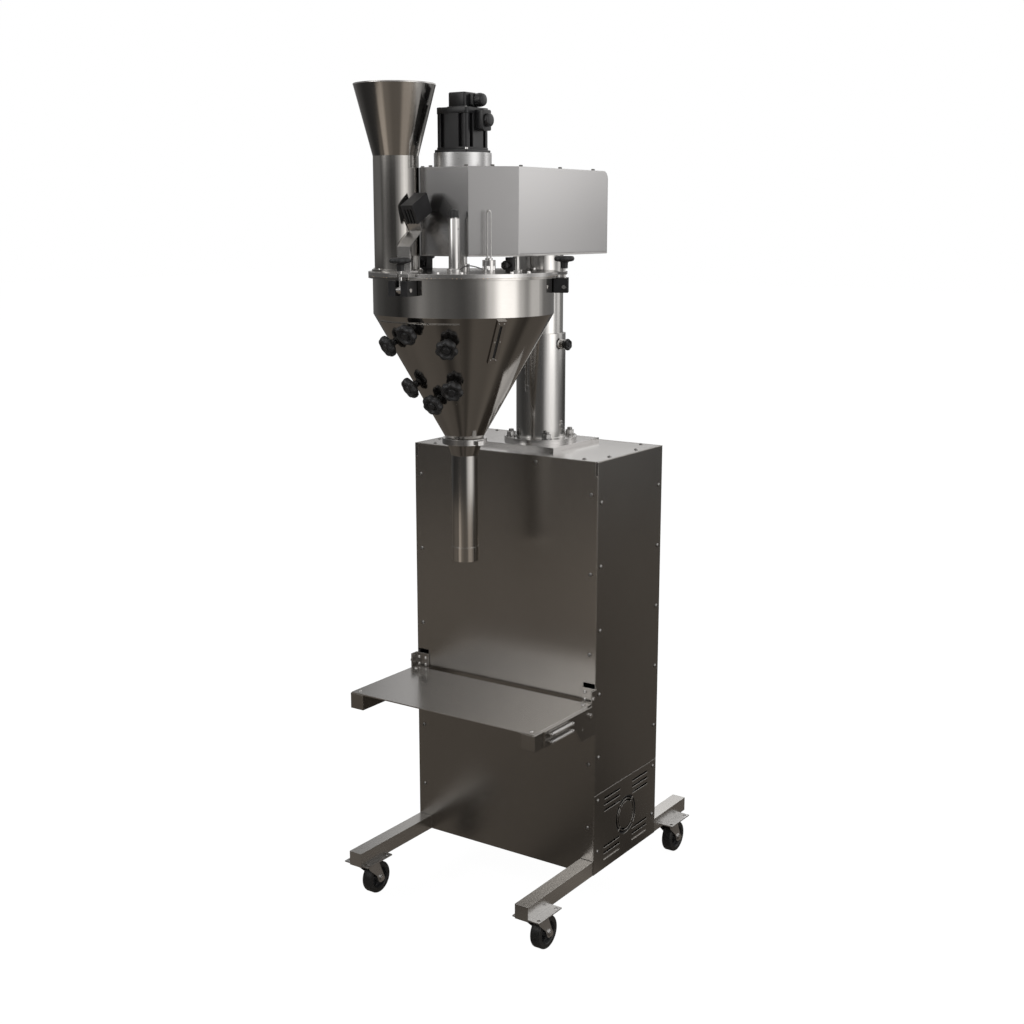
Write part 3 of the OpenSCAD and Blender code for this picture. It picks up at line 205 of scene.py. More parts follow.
# Polished steel for the bowl, hatch, gauge, spout and funnel; its base colour is set darker as painted
# shade, standing in for the dark surroundings the cone mirrors
POLISHED_WITH_PAINTED_SHADE = steel("polished steel with painted shade", (0.45, 0.435, 0.415), 0.11, grain=(60, 60, 900), spread=0.04)
TURNED = steel("turned steel", (0.62, 0.61, 0.60), 0.20, grain=(120, 120, 900), spread=0.06)
COLUMN = steel("column steel", (0.60, 0.59, 0.575), 0.17, grain=(300, 300, 20), spread=0.05)
SCREW = steel("screw steel", (0.66, 0.65, 0.64), 0.22, grain=(900, 900, 900), edge=0.4 * MM)
ZINC = steel("zinc steel", (0.60, 0.60, 0.60), 0.28, grain=(260, 260, 260), spread=0.12)
CASTING = steel("machined aluminium", (0.62, 0.62, 0.62), 0.28, grain=(60, 60, 900))
DULL = steel("dull screw steel", (0.30, 0.295, 0.29), 0.30, grain=(900, 900, 900), edge=0.4 * MM)
# Dark steel: on the inner frame it is painted shade, so the gaps and the notch in the panels read black; on
# the cap screws it is their black oxide
GAP_SHADE_AND_BLACK_OXIDE = steel("gap shade and black oxide steel", (0.16, 0.155, 0.15), 0.42, grain=(300, 300, 30))
BLACK = plastic("black plastic", (0.011, 0.011, 0.012), 0.42)
PAINT = plastic("black paint", (0.009, 0.009, 0.010), 0.34, grain=900, depth=0.08)
RUBBER = plastic("wheel tread", (0.010, 0.010, 0.010), 0.42, grain=700)
HUB = plastic("wheel hub", (0.020, 0.020, 0.021), 0.5)
GREY = plastic("drive casing", (0.23, 0.24, 0.25), 0.55)
SEAL = plastic("silicone seal", (0.60, 0.40, 0.25), 0.6, grain=500)


def finish_nodes(material, *names):
    """One material for all the named nodes."""
    for name in names:
        slots = nodes[name].data.materials
        slots.clear()
        slots.append(material)


corners = ("fl", "fr", "rl", "rr")
finish_nodes(PANEL_WITH_PAINTED_SHADE, "front_panel", "back_panel", "left_panel", "right_panel", "vent_panel", "shelf_arms")
finish_nodes(TOP, "top_plate")
finish_nodes(TUBE, "base_frame")
# The inner frame is dark as painted shade of the gaps between the panels
finish_nodes(GAP_SHADE_AND_BLACK_OXIDE, "inner_frame")
finish_nodes(SATIN, "shelf_plate", "sensor_bracket", "agitator", "head_base")
finish_nodes(HEAD, "head_cover")
finish_nodes(POLISHED_WITH_PAINTED_SHADE, "bowl", "hatch", "gauge", "spout", "feed_funnel")
finish_nodes(TURNED, "lid", "lid_posts", "level_tube", "probe", "spout_ring", "auger", "column_base")
finish_nodes(COLUMN, "outer_column", "inner_column")
finish_nodes(SCREW, "base_fasteners", "head_screws", "shelf_springs",
             *("swing_bolt_%d" % i for i in (1, 2, 3)))
finish_nodes(ZINC, "caster_plates", *("caster_fork_" + c for c in corners))
finish_nodes(CASTING, "drive_housing")
finish_nodes(BLACK, "column_lock_knob", "sensor_box", "fan_frame", "fan_rotor",
             *("clamp_knob_%d" % i for i in (1, 2, 3)), *("hatch_knob_%d" % i for i in range(1, 7)))
finish_nodes(PAINT, "servo_motor", "clamp_bases")
finish_nodes(RUBBER, *("caster_wheel_" + c for c in corners))
finish_nodes(GREY, "electrical_plate")


# Shape helpers: shapes are written in millimetres, and make() turns them into metres

def node_box(name):
    """Lowest and highest corner of a node, in millimetres."""
    low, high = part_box(name)
    return low / MM, high / MM


def arc(cx, cy, r, start, end, steps=6):
    """Points of an arc, with its angles in degrees."""
    turns = [math.radians(start + (end - start) * i / steps) for i in range(steps + 1)]
    return [(cx + r * math.cos(t), cy + r * math.sin(t)) for t in turns]


def rounded(w, h, r, steps=5):
    """Outline of a rectangle with round corners."""
    x, y = w / 2 - r, h / 2 - r
    corners_at = ((x, y, 0), (-x, y, 90), (-x, -y, 180), (x, -y, 270))
    return [p for cx, cy, a in corners_at for p in arc(cx, cy, r, a, a + 90, steps)]


def at(point, axis=(0, 0, 1), ref=None):
    """A place at a point, with +Z along the axis and +X towards ref."""
    z = Vector(axis).normalized()
    x = Vector(ref) if ref else (UP if abs(z.z) < 0.9 else Vector((1, 0, 0)))
    x = (x - z * x.dot(z)).normalized()
    made = Matrix((x, z.cross(x), z)).transposed().to_4x4()
    made.translation = Vector(point)
    return made


def mirrored(half):
    """Profile that goes on as its own mirror image below its first half."""
    return [*half, *((x, -z) for x, z in reversed(half))]


def skin(bm, rings, caps=True, looped=False):
    """Faces between rings of points, each ring as long as the next."""
    made = [[bm.verts.new(p) for p in ring] for ring in rings]
    pairs = list(zip(made, made[1:]))
    if looped:
        pairs.append((made[-1], made[0]))
    count = len(made[0])
    for a, b in pairs:
        for i in range(count):
            j = (i + 1) % count
            bm.faces.new((a[i], a[j], b[j], b[i]))
    if caps and not looped:
        bm.faces.new(list(reversed(made[0])))
        bm.faces.new(made[-1])


def prism(bm, outline, z0, z1, place=Matrix()):
    """Straight bar with the given outline."""
    skin(bm, [[place @ Vector((x, y, z)) for x, y in outline] for z in (z0, z1)])


def lathe(bm, profile, place=Matrix(), sides=40, looped=False, wave=None):
    """Turned shape from (radius, height) points; a third number is the share of the wave there."""
    rings = []
    for point in profile:
        r, z = point[0], point[1]
        share = point[2] if len(point) > 2 else 0
        ring = []
        for i in range(sides):
            turn = 2 * math.pi * i / sides
            rr = r * (1 + share * wave(turn)) if wave else r
            ring.append(place @ Vector((rr * math.cos(turn), rr * math.sin(turn), z)))
        rings.append(ring)
    skin(bm, rings, caps=False, looped=looped)


def block(bm, size, corner, edge, place=Matrix(), steps=3):
    """Box on the XY plane of its place, with round upright corners and softened ends."""
    w, d, h = size
    levels = []
    for i in range(steps + 1):
        turn = math.pi / 2 * i / steps
        levels.append((edge * (1 - math.sin(turn)), edge * (1 - math.cos(turn))))
    levels += [(inset, h - z) for inset, z in reversed(levels)]
    rings = []
    for inset, z in levels:
        outline = rounded(w - 2 * inset, d - 2 * inset, max(corner - inset, 0.1))
        rings.append([place @ Vector((x, y, z)) for x, y in outline])
    skin(bm, rings)


def pipe(bm, points, r, sides=8, looped=False):
    """Round bar or wire along a path."""
    points = [Vector(p) for p in points]
    count = len(points)
    side = None
    rings = []
    for i, p in enumerate(points):
        before = points[i - 1] if i or looped else p
        after = points[(i + 1) % count] if i + 1 < count or looped else p
        ahead = (after - before).normalized()
        if side is None:
            side = ahead.orthogonal().normalized()
        side = (side - ahead * side.dot(ahead)).normalized()
        other = ahead.cross(side)
        turns = [2 * math.pi * k / sides for k in range(sides)]
        rings.append([p + side * (r * math.cos(t)) + other * (r * math.sin(t)) for t in turns])
    skin(bm, rings, looped=looped)


def make(name, bm, material, body, slot, *replaced, angle=34):
    """One piece of the model from its shape."""
    bmesh.ops.remove_doubles(bm, verts=bm.verts, dist=0.001)
    bmesh.ops.recalc_face_normals(bm, faces=bm.faces)
    bmesh.ops.scale(bm, vec=(MM, MM, MM), verts=bm.verts)
    mesh = bpy.data.meshes.new(name)
    bm.to_mesh(mesh)
    bm.free()
    mesh.shade_smooth()
    mesh.set_sharp_from_angle(angle=math.radians(angle))
    mesh.materials.append(material)
    made = bpy.data.objects.new(name, mesh)
    bpy.context.scene.collection.objects.link(made)
    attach(made, body)
    if replaced:
        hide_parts(*replaced)
    return made


def islands(name):
    """Lowest and highest corner of each separate solid of a node, in millimetres."""
    bm = bmesh.new()
    bm.from_mesh(nodes[name].data)
    bmesh.ops.remove_doubles(bm, verts=bm.verts, dist=0.01 * MM)
    left = set(bm.verts)
    found = []
    while left:
        stack = [left.pop()]
        group = []
        while stack:
            v = stack.pop()
            group.append(v.co.copy())
            for e in v.link_edges:
                other = e.other_vert(v)
                if other in left:
                    left.remove(other)
                    stack.append(other)
        low = Vector([min(p[k] for p in group) for k in range(3)]) / MM
        high = Vector([max(p[k] for p in group) for k in range(3)]) / MM
        found.append((low, high))
    bm.free()
    return sorted(found, key=lambda pair: tuple(round(c) for c in pair[0]))


def hinge_of(body):
    """Point in millimetres and direction of the axis that a body turns about."""
    joint = next(j for j in frame["joints"] if j["child"] == body)
    return Vector(joint["pos_m"]) / MM, Vector(joint["axis"]).normalized()


def span(name, point, axis):
    """How far a node reaches along an axis, counted from a point on it."""
    along = [(v.co / MM - point).dot(axis) for v in nodes[name].data.vertices]
    return min(along), max(along)


def hex_wave(turn):
    """Radius of a hexagon at an angle, against its corner radius."""
    sixth = math.pi / 3
    return math.cos(sixth / 2) / math.cos(turn % sixth - sixth / 2) - 1


# Knobs

def lobe_wave(lobes):
    """Radius of a lobed grip at an angle, one deep notch to each lobe."""
    return lambda turn: -((1 - math.cos(lobes * turn)) / 2) ** 1.3


def star_knob(bm, place, d, low, high, grip, stem, lobes=7):
    """Moulded star knob along +Z of its place: a stem from low, and a lobed, dished grip up to high."""
    r = d / 2
    s = stem / 2
    z = high - grip
    notch = 0.13
    profile = [
        (0, low), (s - 0.8, low), (s, low + 0.8), (s * 1.04, z - 3), (s * 1.12, z - 1), (s * 1.5, z, 0.1),
        (r * 0.80, z + grip * 0.10, notch * 0.6), (r * 0.93, z + grip * 0.20, notch),
        (r * 0.985, z + grip * 0.36, notch), (r, z + grip * 0.52, notch),
        (r * 0.985, z + grip * 0.70, notch), (r * 0.93, z + grip * 0.87, notch),
        (r * 0.84, z + grip * 0.97, notch * 0.8), (r * 0.74, high, notch * 0.45),
        (r * 0.64, high - grip * 0.04, 0.03),
        (r * 0.54, high - grip * 0.20), (r * 0.44, high - grip * 0.27), (r * 0.38, high - grip * 0.25),
        (r * 0.35, high - grip * 0.12), (r * 0.30, high - grip * 0.06), (0, high - grip * 0.04)]
    lathe(bm, profile, place, sides=84, wave=lobe_wave(lobes))


def knob_piece(node, d, grip, stem, lobes=7):
    """Star knob in the place of a knob's node."""
    point, axis = hinge_of(node)
    low, high = span(node, point, axis)
    bm = bmesh.new()
    star_knob(bm, at(point, axis), d, low, high, grip, stem, lobes)
    make(node + "_grip", bm, BLACK, node, "black_plastic", node)


for i in range(1, 7):
    knob_piece("hatch_knob_%d" % i, d=48, grip=18, stem=15)
for i in (1, 2, 3):
    knob_piece("clamp_knob_%d" % i, d=46, grip=12, stem=15, lobes=6)
knob_piece("column_lock_knob", d=27, grip=11, stem=12, lobes=6)


# Casters

wheel_gap = 1.6


def caster_wheel(corner):
    """Tread with rounded shoulders, round a hub with five spokes."""
    name = "caster_wheel_" + corner
    low, high = node_box(name)
    centre = (low + high) / 2
    r = (high.z - low.z) / 2
    half = (high.x - low.x) / 2 - 1
    shoulder = 4.2
    place = at(centre, (1, 0, 0))
    bm = bmesh.new()
    side = arc(r - shoulder, 0, shoulder, -90, -8, 6)
    crown = [(x, y - half + shoulder) for x, y in side]
    tread = [(r - 13, 1.5 - half), (r - 11.5, -half), *crown, (r, -3)]
    lathe(bm, mirrored(tread), place, sides=72, looped=True)
    make("wheel_tread_" + corner, bm, RUBBER, name, "wheel_rubber", name)
    bm = bmesh.new()
    hub = [(4.1, -half - 1), (8, -half - 1), (9, -half), (10.5, -5), (12, -3.5), (r - 15, -3.5),
           (r - 13.2, -half + 2), (r - 12.6, -half + 2)]
    lathe(bm, mirrored(hub), place, sides=48, looped=True)
    spokes = 5
    for i in range(spokes):
        rib = place @ Matrix.Rotation(2 * math.pi * i / spokes, 4, "Z")
        for s in (-1, 1):
            outline = [(9, 3 * s), (r - 13.5, 3 * s), (r - 14.5, (half - 4) * s), (9.5, (half - 1.5) * s)]
            prism(bm, outline, -1.1, 1.1, rib @ Matrix.Rotation(math.pi / 2, 4, "X"))
    make("wheel_hub_" + corner, bm, HUB, name, "black_plastic")


def caster_fork(corner):
    """Bent strip over the wheel, under the swivel's race, with the axle bolt through it."""
    name = "caster_fork_" + corner
    low, high = node_box(name)
    wheel_low, wheel_high = node_box("caster_wheel_" + corner)
    wheel = (wheel_low + wheel_high) / 2
    t = 2.5
    out = (wheel_high.x - wheel_low.x) / 2 - 1 + wheel_gap + t / 2
    swivel = hinge_of(name)[0]
    trail = wheel.y - swivel.y
    top = high.z - t / 2 - 1.5
    bend = 9
    eye = 11
    foot = wheel.z - eye
    # The strip runs up one leg, over the top and down the other; each stop has its place and its width
    half_path = [(out, foot + eye * k) for k in (0, 0.06, 0.2, 0.45, 0.7, 1.0)]
    half_path += [(out, wheel.z + (top - bend - wheel.z) * k) for k in (0.25, 0.5, 0.75)]
    half_path += arc(out - bend, top - bend, bend, 0, 90, 6)
    half_path += [((out - bend) * k, top) for k in (0.66, 0.33, 0)]
    rings = []

    def reach(z):
        """Front and back edge of the strip at a height."""
        if z < wheel.z:
            half = math.sqrt(max(1.0, eye ** 2 - (wheel.z - z) ** 2))
            return trail - half, trail + half
        k = min(1, (z - wheel.z) / (top - bend - wheel.z))
        ease = k * k * (3 - 2 * k)
        return trail - eye - (trail + 8) * ease, trail + eye - (trail - 8) * k

    full = half_path + [(-x, z) for x, z in reversed(half_path[:-1])]
    for i, (x, z) in enumerate(full):
        ax, az = full[max(i - 1, 0)]
        bx, bz = full[min(i + 1, len(full) - 1)]
        ahead = Vector((bx - ax, 0, bz - az)).normalized()
        thick = Vector((ahead.z, 0, -ahead.x)) * (t / 2)
        y0, y1 = reach(z)
        centre = Vector((wheel.x + x, 0, z))
        ring = []
        for s, ys in ((1, (y0, y0 + 0.8, y1 - 0.8, y1)), (-1, (y1, y1 - 0.8, y0 + 0.8, y0))):
            ring += [centre + thick * s * (0.75 if j in (0, 3) else 1) + Vector((0, swivel.y + y, 0))
                     for j, y in enumerate(ys)]
        rings.append(ring)
    bm = bmesh.new()
    skin(bm, rings)
    race = at((swivel.x, swivel.y, 0))
    z = high.z
    cup = [(7, z - 8), (21, z - 8), (24, z - 6.5), (25, z - 4), (24.4, z - 1.2), (22, z), (7, z)]
    lathe(bm, cup, race, sides=48, looped=True)
    make("fork_shell_" + corner, bm, ZINC, name, "zinc_steel", name)
    bm = bmesh.new()
    for s in (-1, 1):
        nut = at((wheel.x + s * (out + t / 2), wheel.y, wheel.z), (s, 0, 0))
        lathe(bm, [(0, 0), (9.5, 0), (9.5, 1), (0, 1)], nut, sides=28)
        lathe(bm, [(0, 0.9), (7.5, 0.9, 1), (7.5, 4, 1), (6.9, 4.9, 0.8), (0, 4.9)], nut,
              sides=24, wave=hex_wave)
    past = out + 6
    pipe(bm, [(wheel.x - past, wheel.y, wheel.z), (wheel.x + past, wheel.y, wheel.z)], 3.9, sides=20)
    make("axle_bolt_" + corner, bm, SCREW, name, "screw_steel")


for corner in corners:
    caster_wheel(corner)
    caster_fork(corner)


# Screws and bolts

def socket_head(bm, place, d, h, dome):
    """Screw head along +Z with a hexagon socket; the dome is its rise in the middle."""
    r = d / 2
    socket = h - 1.4
    lathe(bm, [(0, 0), (r, 0), (r, (h - dome) * 0.9), (r * 0.96, h - dome), (r * 0.72, h - dome * 0.45),
               (r * 0.50, h), (r * 0.44, h, 1), (r * 0.42, socket, 1), (0, socket)], place,
          sides=24, wave=hex_wave)


def hex_head(bm, place, across, h):
    """Hexagon head along +Z, given by its width across flats."""
    r = across / 2 / math.cos(math.pi / 6)
    lathe(bm, [(0, 0), (r, 0, 1), (r, h * 0.82, 1), (r * 0.94, h * 0.95, 0.7), (r * 0.84, h), (0, h)],
          place, sides=36, wave=hex_wave)


def fastener_heads():
    """Button-head sheet screws, and the column's bolts with washers, nuts and their studs."""
    shank = 2.4
    stud_r = 5.8
    shortest_stud = 40
    foot = node_box("column_base")[1].z
    bm = bmesh.new()
    for low, high in islands("base_fasteners"):
        size = high - low
        centre = (low + high) / 2
        if size.z > shortest_stud:
            stud = at((centre.x, centre.y, 0))
            washer = [(0, foot), (12, foot), (12, foot + 1.8), (11.6, foot + 2), (0, foot + 2)]
            lathe(bm, washer, stud, sides=32)
            hex_head(bm, at((centre.x, centre.y, foot + 1.9)), 19, 9.5)
            end = [(0, foot), (stud_r, foot), (stud_r, high.z - 1), (5, high.z), (0, high.z)]
            lathe(bm, end, stud, sides=20)
            pipe(bm, [(centre.x, centre.y, low.z), (centre.x, centre.y, foot)], stud_r, sides=16)
            continue
        # The axis of a screw is the one whose size differs most from the other two
        k = max(range(3), key=lambda j: abs(size[j] - size[j - 1]) + abs(size[j] - size[j - 2]))
        inside = 0 if k == 0 else front_y / MM + 100
        s = 1 if k == 2 or centre[k] > inside else -1
        axis = Vector([s if j == k else 0 for j in range(3)])
        d = size[(k + 1) % 3]
        top = centre.copy()
        top[k] = (high if s > 0 else low)[k]
        socket_head(bm, at(top - axis * 3, axis), d, 3, 1.6)
        pipe(bm, [top - axis * 3, top - axis * size[k]], shank, sides=12)
    make("sheet_screws", bm, DULL, "cabinet", "screw_steel", "base_fasteners")
    bm = bmesh.new()
    for low, high in islands("head_screws"):
        centre = (low + high) / 2
        socket_head(bm, at((centre.x, centre.y, high.z - 4)), high.x - low.x, 4, 0.3)
        pipe(bm, [(centre.x, centre.y, low.z), (centre.x, centre.y, high.z - 4)], shank, sides=12)
    make("cap_screws", bm, GAP_SHADE_AND_BLACK_OXIDE, "head", "screw_steel", "head_screws")


fastener_heads()


# Shelf springs

def shelf_spring(bm, low, high):
    """Close coils along Y with a loop round each peg."""
    wire = 1.6
    hook = 4.1
    centre = (low + high) / 2
    r = (high.x - low.x) / 2 - wire / 2
    y0 = low.y + 2 * hook + wire / 2
    y1 = high.y - 2 * hook - wire / 2
    turns = math.floor((y1 - y0) / wire)
    steps = 10
    points = []
    for i in range(turns * steps + 1):
        turn = 2 * math.pi * i / steps
        y = y0 + (y1 - y0) * i / (turns * steps)
        points.append((centre.x + r * math.cos(turn), y, centre.z + r * math.sin(turn)))
    pipe(bm, points, wire / 2 * 0.97, sides=6)
    for peg_y, s in ((low.y + hook + wire / 2, 1), (high.y - hook - wire / 2, -1)):
        ring = [(centre.x, peg_y + hook * math.cos(t), centre.z + hook * math.sin(t))
                for t in [math.radians(20 + 32 * k) for k in range(11)]]
        if s < 0:
            ring = [(x, 2 * peg_y - y, z) for x, y, z in ring]
        start = (centre.x + r * 0.6, peg_y + s * (hook + 1.5), centre.z + r * 0.6)
        pipe(bm, [start, *ring], wire / 2, sides=8)


bm = bmesh.new()
for low, high in islands("shelf_springs"):
    shelf_spring(bm, low, high)
make("spring_coils", bm, SCREW, "cabinet", "screw_steel", "shelf_springs")


# Servo motor

def servo_motor():
    """Grooved body between two end plates, with an encoder cap and two round plugs."""
    low, high = node_box("servo_motor")
    x, y = auger.x / MM, auger.y / MM
    flange = 6
    body_h = 85
    cap_h = 31
    body_s = 80
    end_plate = 13
    foot = low.z + flange
    top = foot + body_h

    def level(z):
        """A place on the motor's axis at a height."""
        return at((x, y, z), ref=(1, 0, 0))

    bm = bmesh.new()
    block(bm, (86, 86, flange), 5, 0.6, level(low.z))
    block(bm, (body_s, body_s, end_plate), 7, 0.8, level(top - end_plate))
    block(bm, (body_s, body_s, 5), 7, 0.5, level(foot))
    # A quarter of the body's outline: a flat panel, a groove, and a rounded corner rib
    quarter = [(40, -17.5), (40, 17.5), (39.2, 18.4), (31.6, 18.8), (31.2, 27.4), (38.4, 28.2),
               *arc(33, 33, 6, 0, 90, 3), (28.2, 38.4), (27.4, 31.2), (18.8, 31.6), (18.4, 39.2)]
    outline = []
    for c, q in ((1, 0), (0, 1), (-1, 0), (0, -1)):
        outline += [(px * c - py * q, px * q + py * c) for px, py in quarter]
    prism(bm, outline, foot + 4, top - 12, level(0))
    block(bm, (44, 44, cap_h), 6, 2.5, level(top))
    block(bm, (48, 48, 3), 5, 0.6, level(top - 0.5))
    # Plug sockets on the right side: one on the body, one on the encoder's cap
    body_y = y + 4
    body_z = top - 26
    cap_y = y + 6
    cap_z = top + 15
    block(bm, (42, 30, 20), 4, 1.2, at((x + 40, body_y, body_z), (1, 0, 0)))
    block(bm, (26, 28, 12), 4, 1.2, at((x + 21, cap_y, cap_z), (1, 0, 0)))
    ribs = 14
    for start, across, mid, end in ((60, body_y, body_z, high.x - x), (32, cap_y, cap_z, 52)):
        reach = end - start
        plug = at((x + start, across, mid), (1, 0, 0))
        lathe(bm, [(0, 0), (11.6, 0), (11.6, 2), (13.4, 2.4), (13.6, reach * 0.6), (12.9, reach * 0.8),
                   (11.4, reach * 0.93), (8, reach), (0, reach)], plug, sides=32)
        for k in range(ribs):
            rib = plug @ Matrix.Rotation(2 * math.pi * k / ribs, 4, "Z")
            prism(bm, [(12.8, -0.8), (14, -0.8), (14, 0.8), (12.8, 0.8)], 3.4, reach * 0.6, rib)
    make("motor_case", bm, PAINT, "head", "black_paint", "servo_motor")
    bm = bmesh.new()
    for sx in (-1, 1):
        for sy in (-1, 1):
            socket_head(bm, at((x + sx * 35.5, y + sy * 35.5, low.z + flange - 0.2)), 8, 4.5, 0.4)
            socket_head(bm, at((x + sx * 33.5, y + sy * 33.5, top - 0.6)), 5, 1.6, 0.2)
            socket_head(bm, at((x + sx * 17.5, y + sy * 17.5, high.z - 1.6)), 3.6, 1.5, 0.2)
    make("motor_screws", bm, SCREW, "head", "screw_steel")


servo_motor()


# Fittings on the lid

def cab(x, y, z):
    """A point given from the middle of the cabinet's front, at floor level."""
    return Vector((x, y + front_y / MM, z))


def middle_of(name):
    """Middle of a node, in millimetres."""
    low, high = node_box(name)
    return (low + high) / 2


def level_tube():
    """Tube on a screwed foot, with a rounded cap."""
    top = lid_top / MM
    middle = middle_of("level_tube")
    place = at((middle.x, middle.y, 0))
    bm = bmesh.new()
    lathe(bm, [(0, top), (16, top), (16, top + 6.4), (15, top + 7.6), (12, top + 8), (12, top + 107.6),
               (11.6, top + 109), (8.6, top + 109), (8.6, top + 112), (0, top + 112)], place, sides=48)
    for k in range(3):
        turn = math.radians(120 * k + 30)
        screw = at((middle.x + 13.6 * math.cos(turn), middle.y + 13.6 * math.sin(turn), top + 6.4))
        socket_head(bm, screw, 3.6, 1.8, 0.2)
    make("level_pipe", bm, TURNED, "head", "machined_steel", "level_tube")
    bm = bmesh.new()
    lathe(bm, [(0, top + 111), (9, top + 111), (9, top + 122), (8.2, top + 124.6), (6, top + 126.4),
               (3, top + 127), (0, top + 127)], place, sides=36)
    button = at((middle.x + 11.7, middle.y - 2.6, top + 88), (1, -0.2, 0))
    lathe(bm, [(0, 0), (1.4, 0), (1.4, 0.5), (0, 0.5)], button, sides=12)
    make("level_cap", bm, BLACK, "head", "black_plastic")


def lid_seal():
    """Seal between the bowl's rim and the lid."""
    inner = 199
    outer = 201.45
    half = 0.9
    z = rim_top / MM
    bm = bmesh.new()
    lathe(bm, [(inner, z - half), (outer, z - half), (outer, z + half), (inner, z + half)],
          at((auger.x / MM, auger.y / MM, 0)), sides=144, looped=True)
    make("lid_seal", bm, SEAL, "head", "wheel_rubber")


def lid_bolts():
    """Screws round the feed tube, probe and posts, bolts in the lid, and the funnel's rolled edge."""
    top = lid_top / MM
    x, y = auger.x / MM, auger.y / MM
    bm = bmesh.new()
    feed_low, feed_high = node_box("feed_funnel")
    feed = Vector(((feed_low.x + feed_high.x) / 2, (feed_low.y + feed_high.y) / 2, 0))
    feed_reach = 51
    for k in range(6):
        turn = math.radians(60 * k + 20)
        across = feed_reach * math.cos(turn)
        along = feed_reach * math.sin(turn)
        hex_head(bm, at((feed.x + across, feed.y + along, top + 3.9)), 5, 2.6)
    edge = feed_high.z
    lathe(bm, [(84.2, edge - 2.6), (85.2, edge - 3), (86.2, edge - 2.4), (86.4, edge - 1.2),
               (86, edge - 0.2), (85, edge), (84.3, edge - 0.6), (84, edge - 1.6)], at(feed),
          sides=96, looped=True)
    probe = middle_of("probe")
    hex_head(bm, at((probe.x, probe.y, top + 6)), 26, 9)
    lathe(bm, [(0, top + 25), (8, top + 25), (8, top + 29), (6.4, top + 31), (0, top + 31)],
          at((probe.x, probe.y, 0)), sides=28)
    bolt_reach = 186
    for angle in (-70, -55, -22, -8, 70, 110, 200):
        turn = math.radians(angle)
        bolt = at((x + bolt_reach * math.cos(turn), y + bolt_reach * math.sin(turn), top - 0.1))
        hex_head(bm, bolt, 7, 4)
    post_low, post_high = node_box("lid_posts")
    post_y = (post_low.y + post_high.y) / 2
    post_reach = 9.6
    for s in (-1, 1):
        post_x = s * (post_high.x - 12)
        for k in range(4):
            turn = math.radians(90 * k + 45)
            across = post_reach * math.cos(turn)
            along = post_reach * math.sin(turn)
            socket_head(bm, at((post_x + across, post_y + along, top + 2.6)), 3.6, 2, 0.2)
    make("lid_bolts", bm, SCREW, "head", "screw_steel")


def probe_lead():
    """Bent wire between the level tube and the probe."""
    top = lid_top / MM
    middle = middle_of("level_tube")
    probe = middle_of("probe")
    start = Vector((middle.x + 15, middle.y - 2, top + 7))
    end = Vector((probe.x - 13, probe.y - 2, top + 7))
    steps = 12
    points = []
    for k in range(steps + 1):
        f = k / steps
        bow = math.sin(math.pi * f)
        points.append(start.lerp(end, f) + Vector((0, -8 * bow, 9 * bow - 6 * f * (1 - f))))
    bm = bmesh.new()
    pipe(bm, points, 1.1, sides=8)
    make("probe_lead", bm, BLACK, "head", "black_plastic")


def head_stops():
    """Stops with small star knobs under the head."""
    top = lid_top / MM
    stop_x = 113
    bm = bmesh.new()
    for s in (-1, 1):
        block(bm, (20, 22, 30), 2, 0.8, at(cab(s * stop_x, -129, top + 0.2), ref=(1, 0, 0)))
        stop = at(cab(s * stop_x, -139.5, top + 14), (-s * 0.25, -1, 0))
        lathe(bm, [(0, 0), (4, 0), (4, 6), (6, 7), (0, 7)], stop, sides=20)
        star_knob(bm, stop @ Matrix.Translation((0, 0, 4)), 19, 0, 12, 8, 7, 6)
    make("head_stops", bm, BLACK, "head", "black_plastic")


level_tube()
lid_seal()
lid_bolts()
probe_lead()
head_stops()


# Painted shade in the gauge's slot

def gauge_slot_shade():
    """Black sheet in the gauge's slot along the slope of the cone: painted shade of the slot's depth."""
    cone_in = 152.5
    cone_h = 270
    bm = bmesh.new()
    slope_a = math.atan(cone_in / cone_h)
    turn = math.radians(-30)
    out = Vector((math.cos(turn), math.sin(turn), 0))
    up_cone = (out * math.sin(slope_a) + UP * math.cos(slope_a)).normalized()
    normal = (out * math.cos(slope_a) - UP * math.sin(slope_a)).normalized()
    centre = middle_of("gauge") + normal * 0.2
    place = Matrix((up_cone, normal.cross(up_cone), normal)).transposed().to_4x4()
    place.translation = centre
    # A black sheet fills the slot as painted shade
    prism(bm, rounded(79, 5.6, 2.7), -0.4, 0.5, place)
    make("gauge_slot_shade", bm, BLACK, "head", "black_plastic")


gauge_slot_shade()


# Shelf fittings

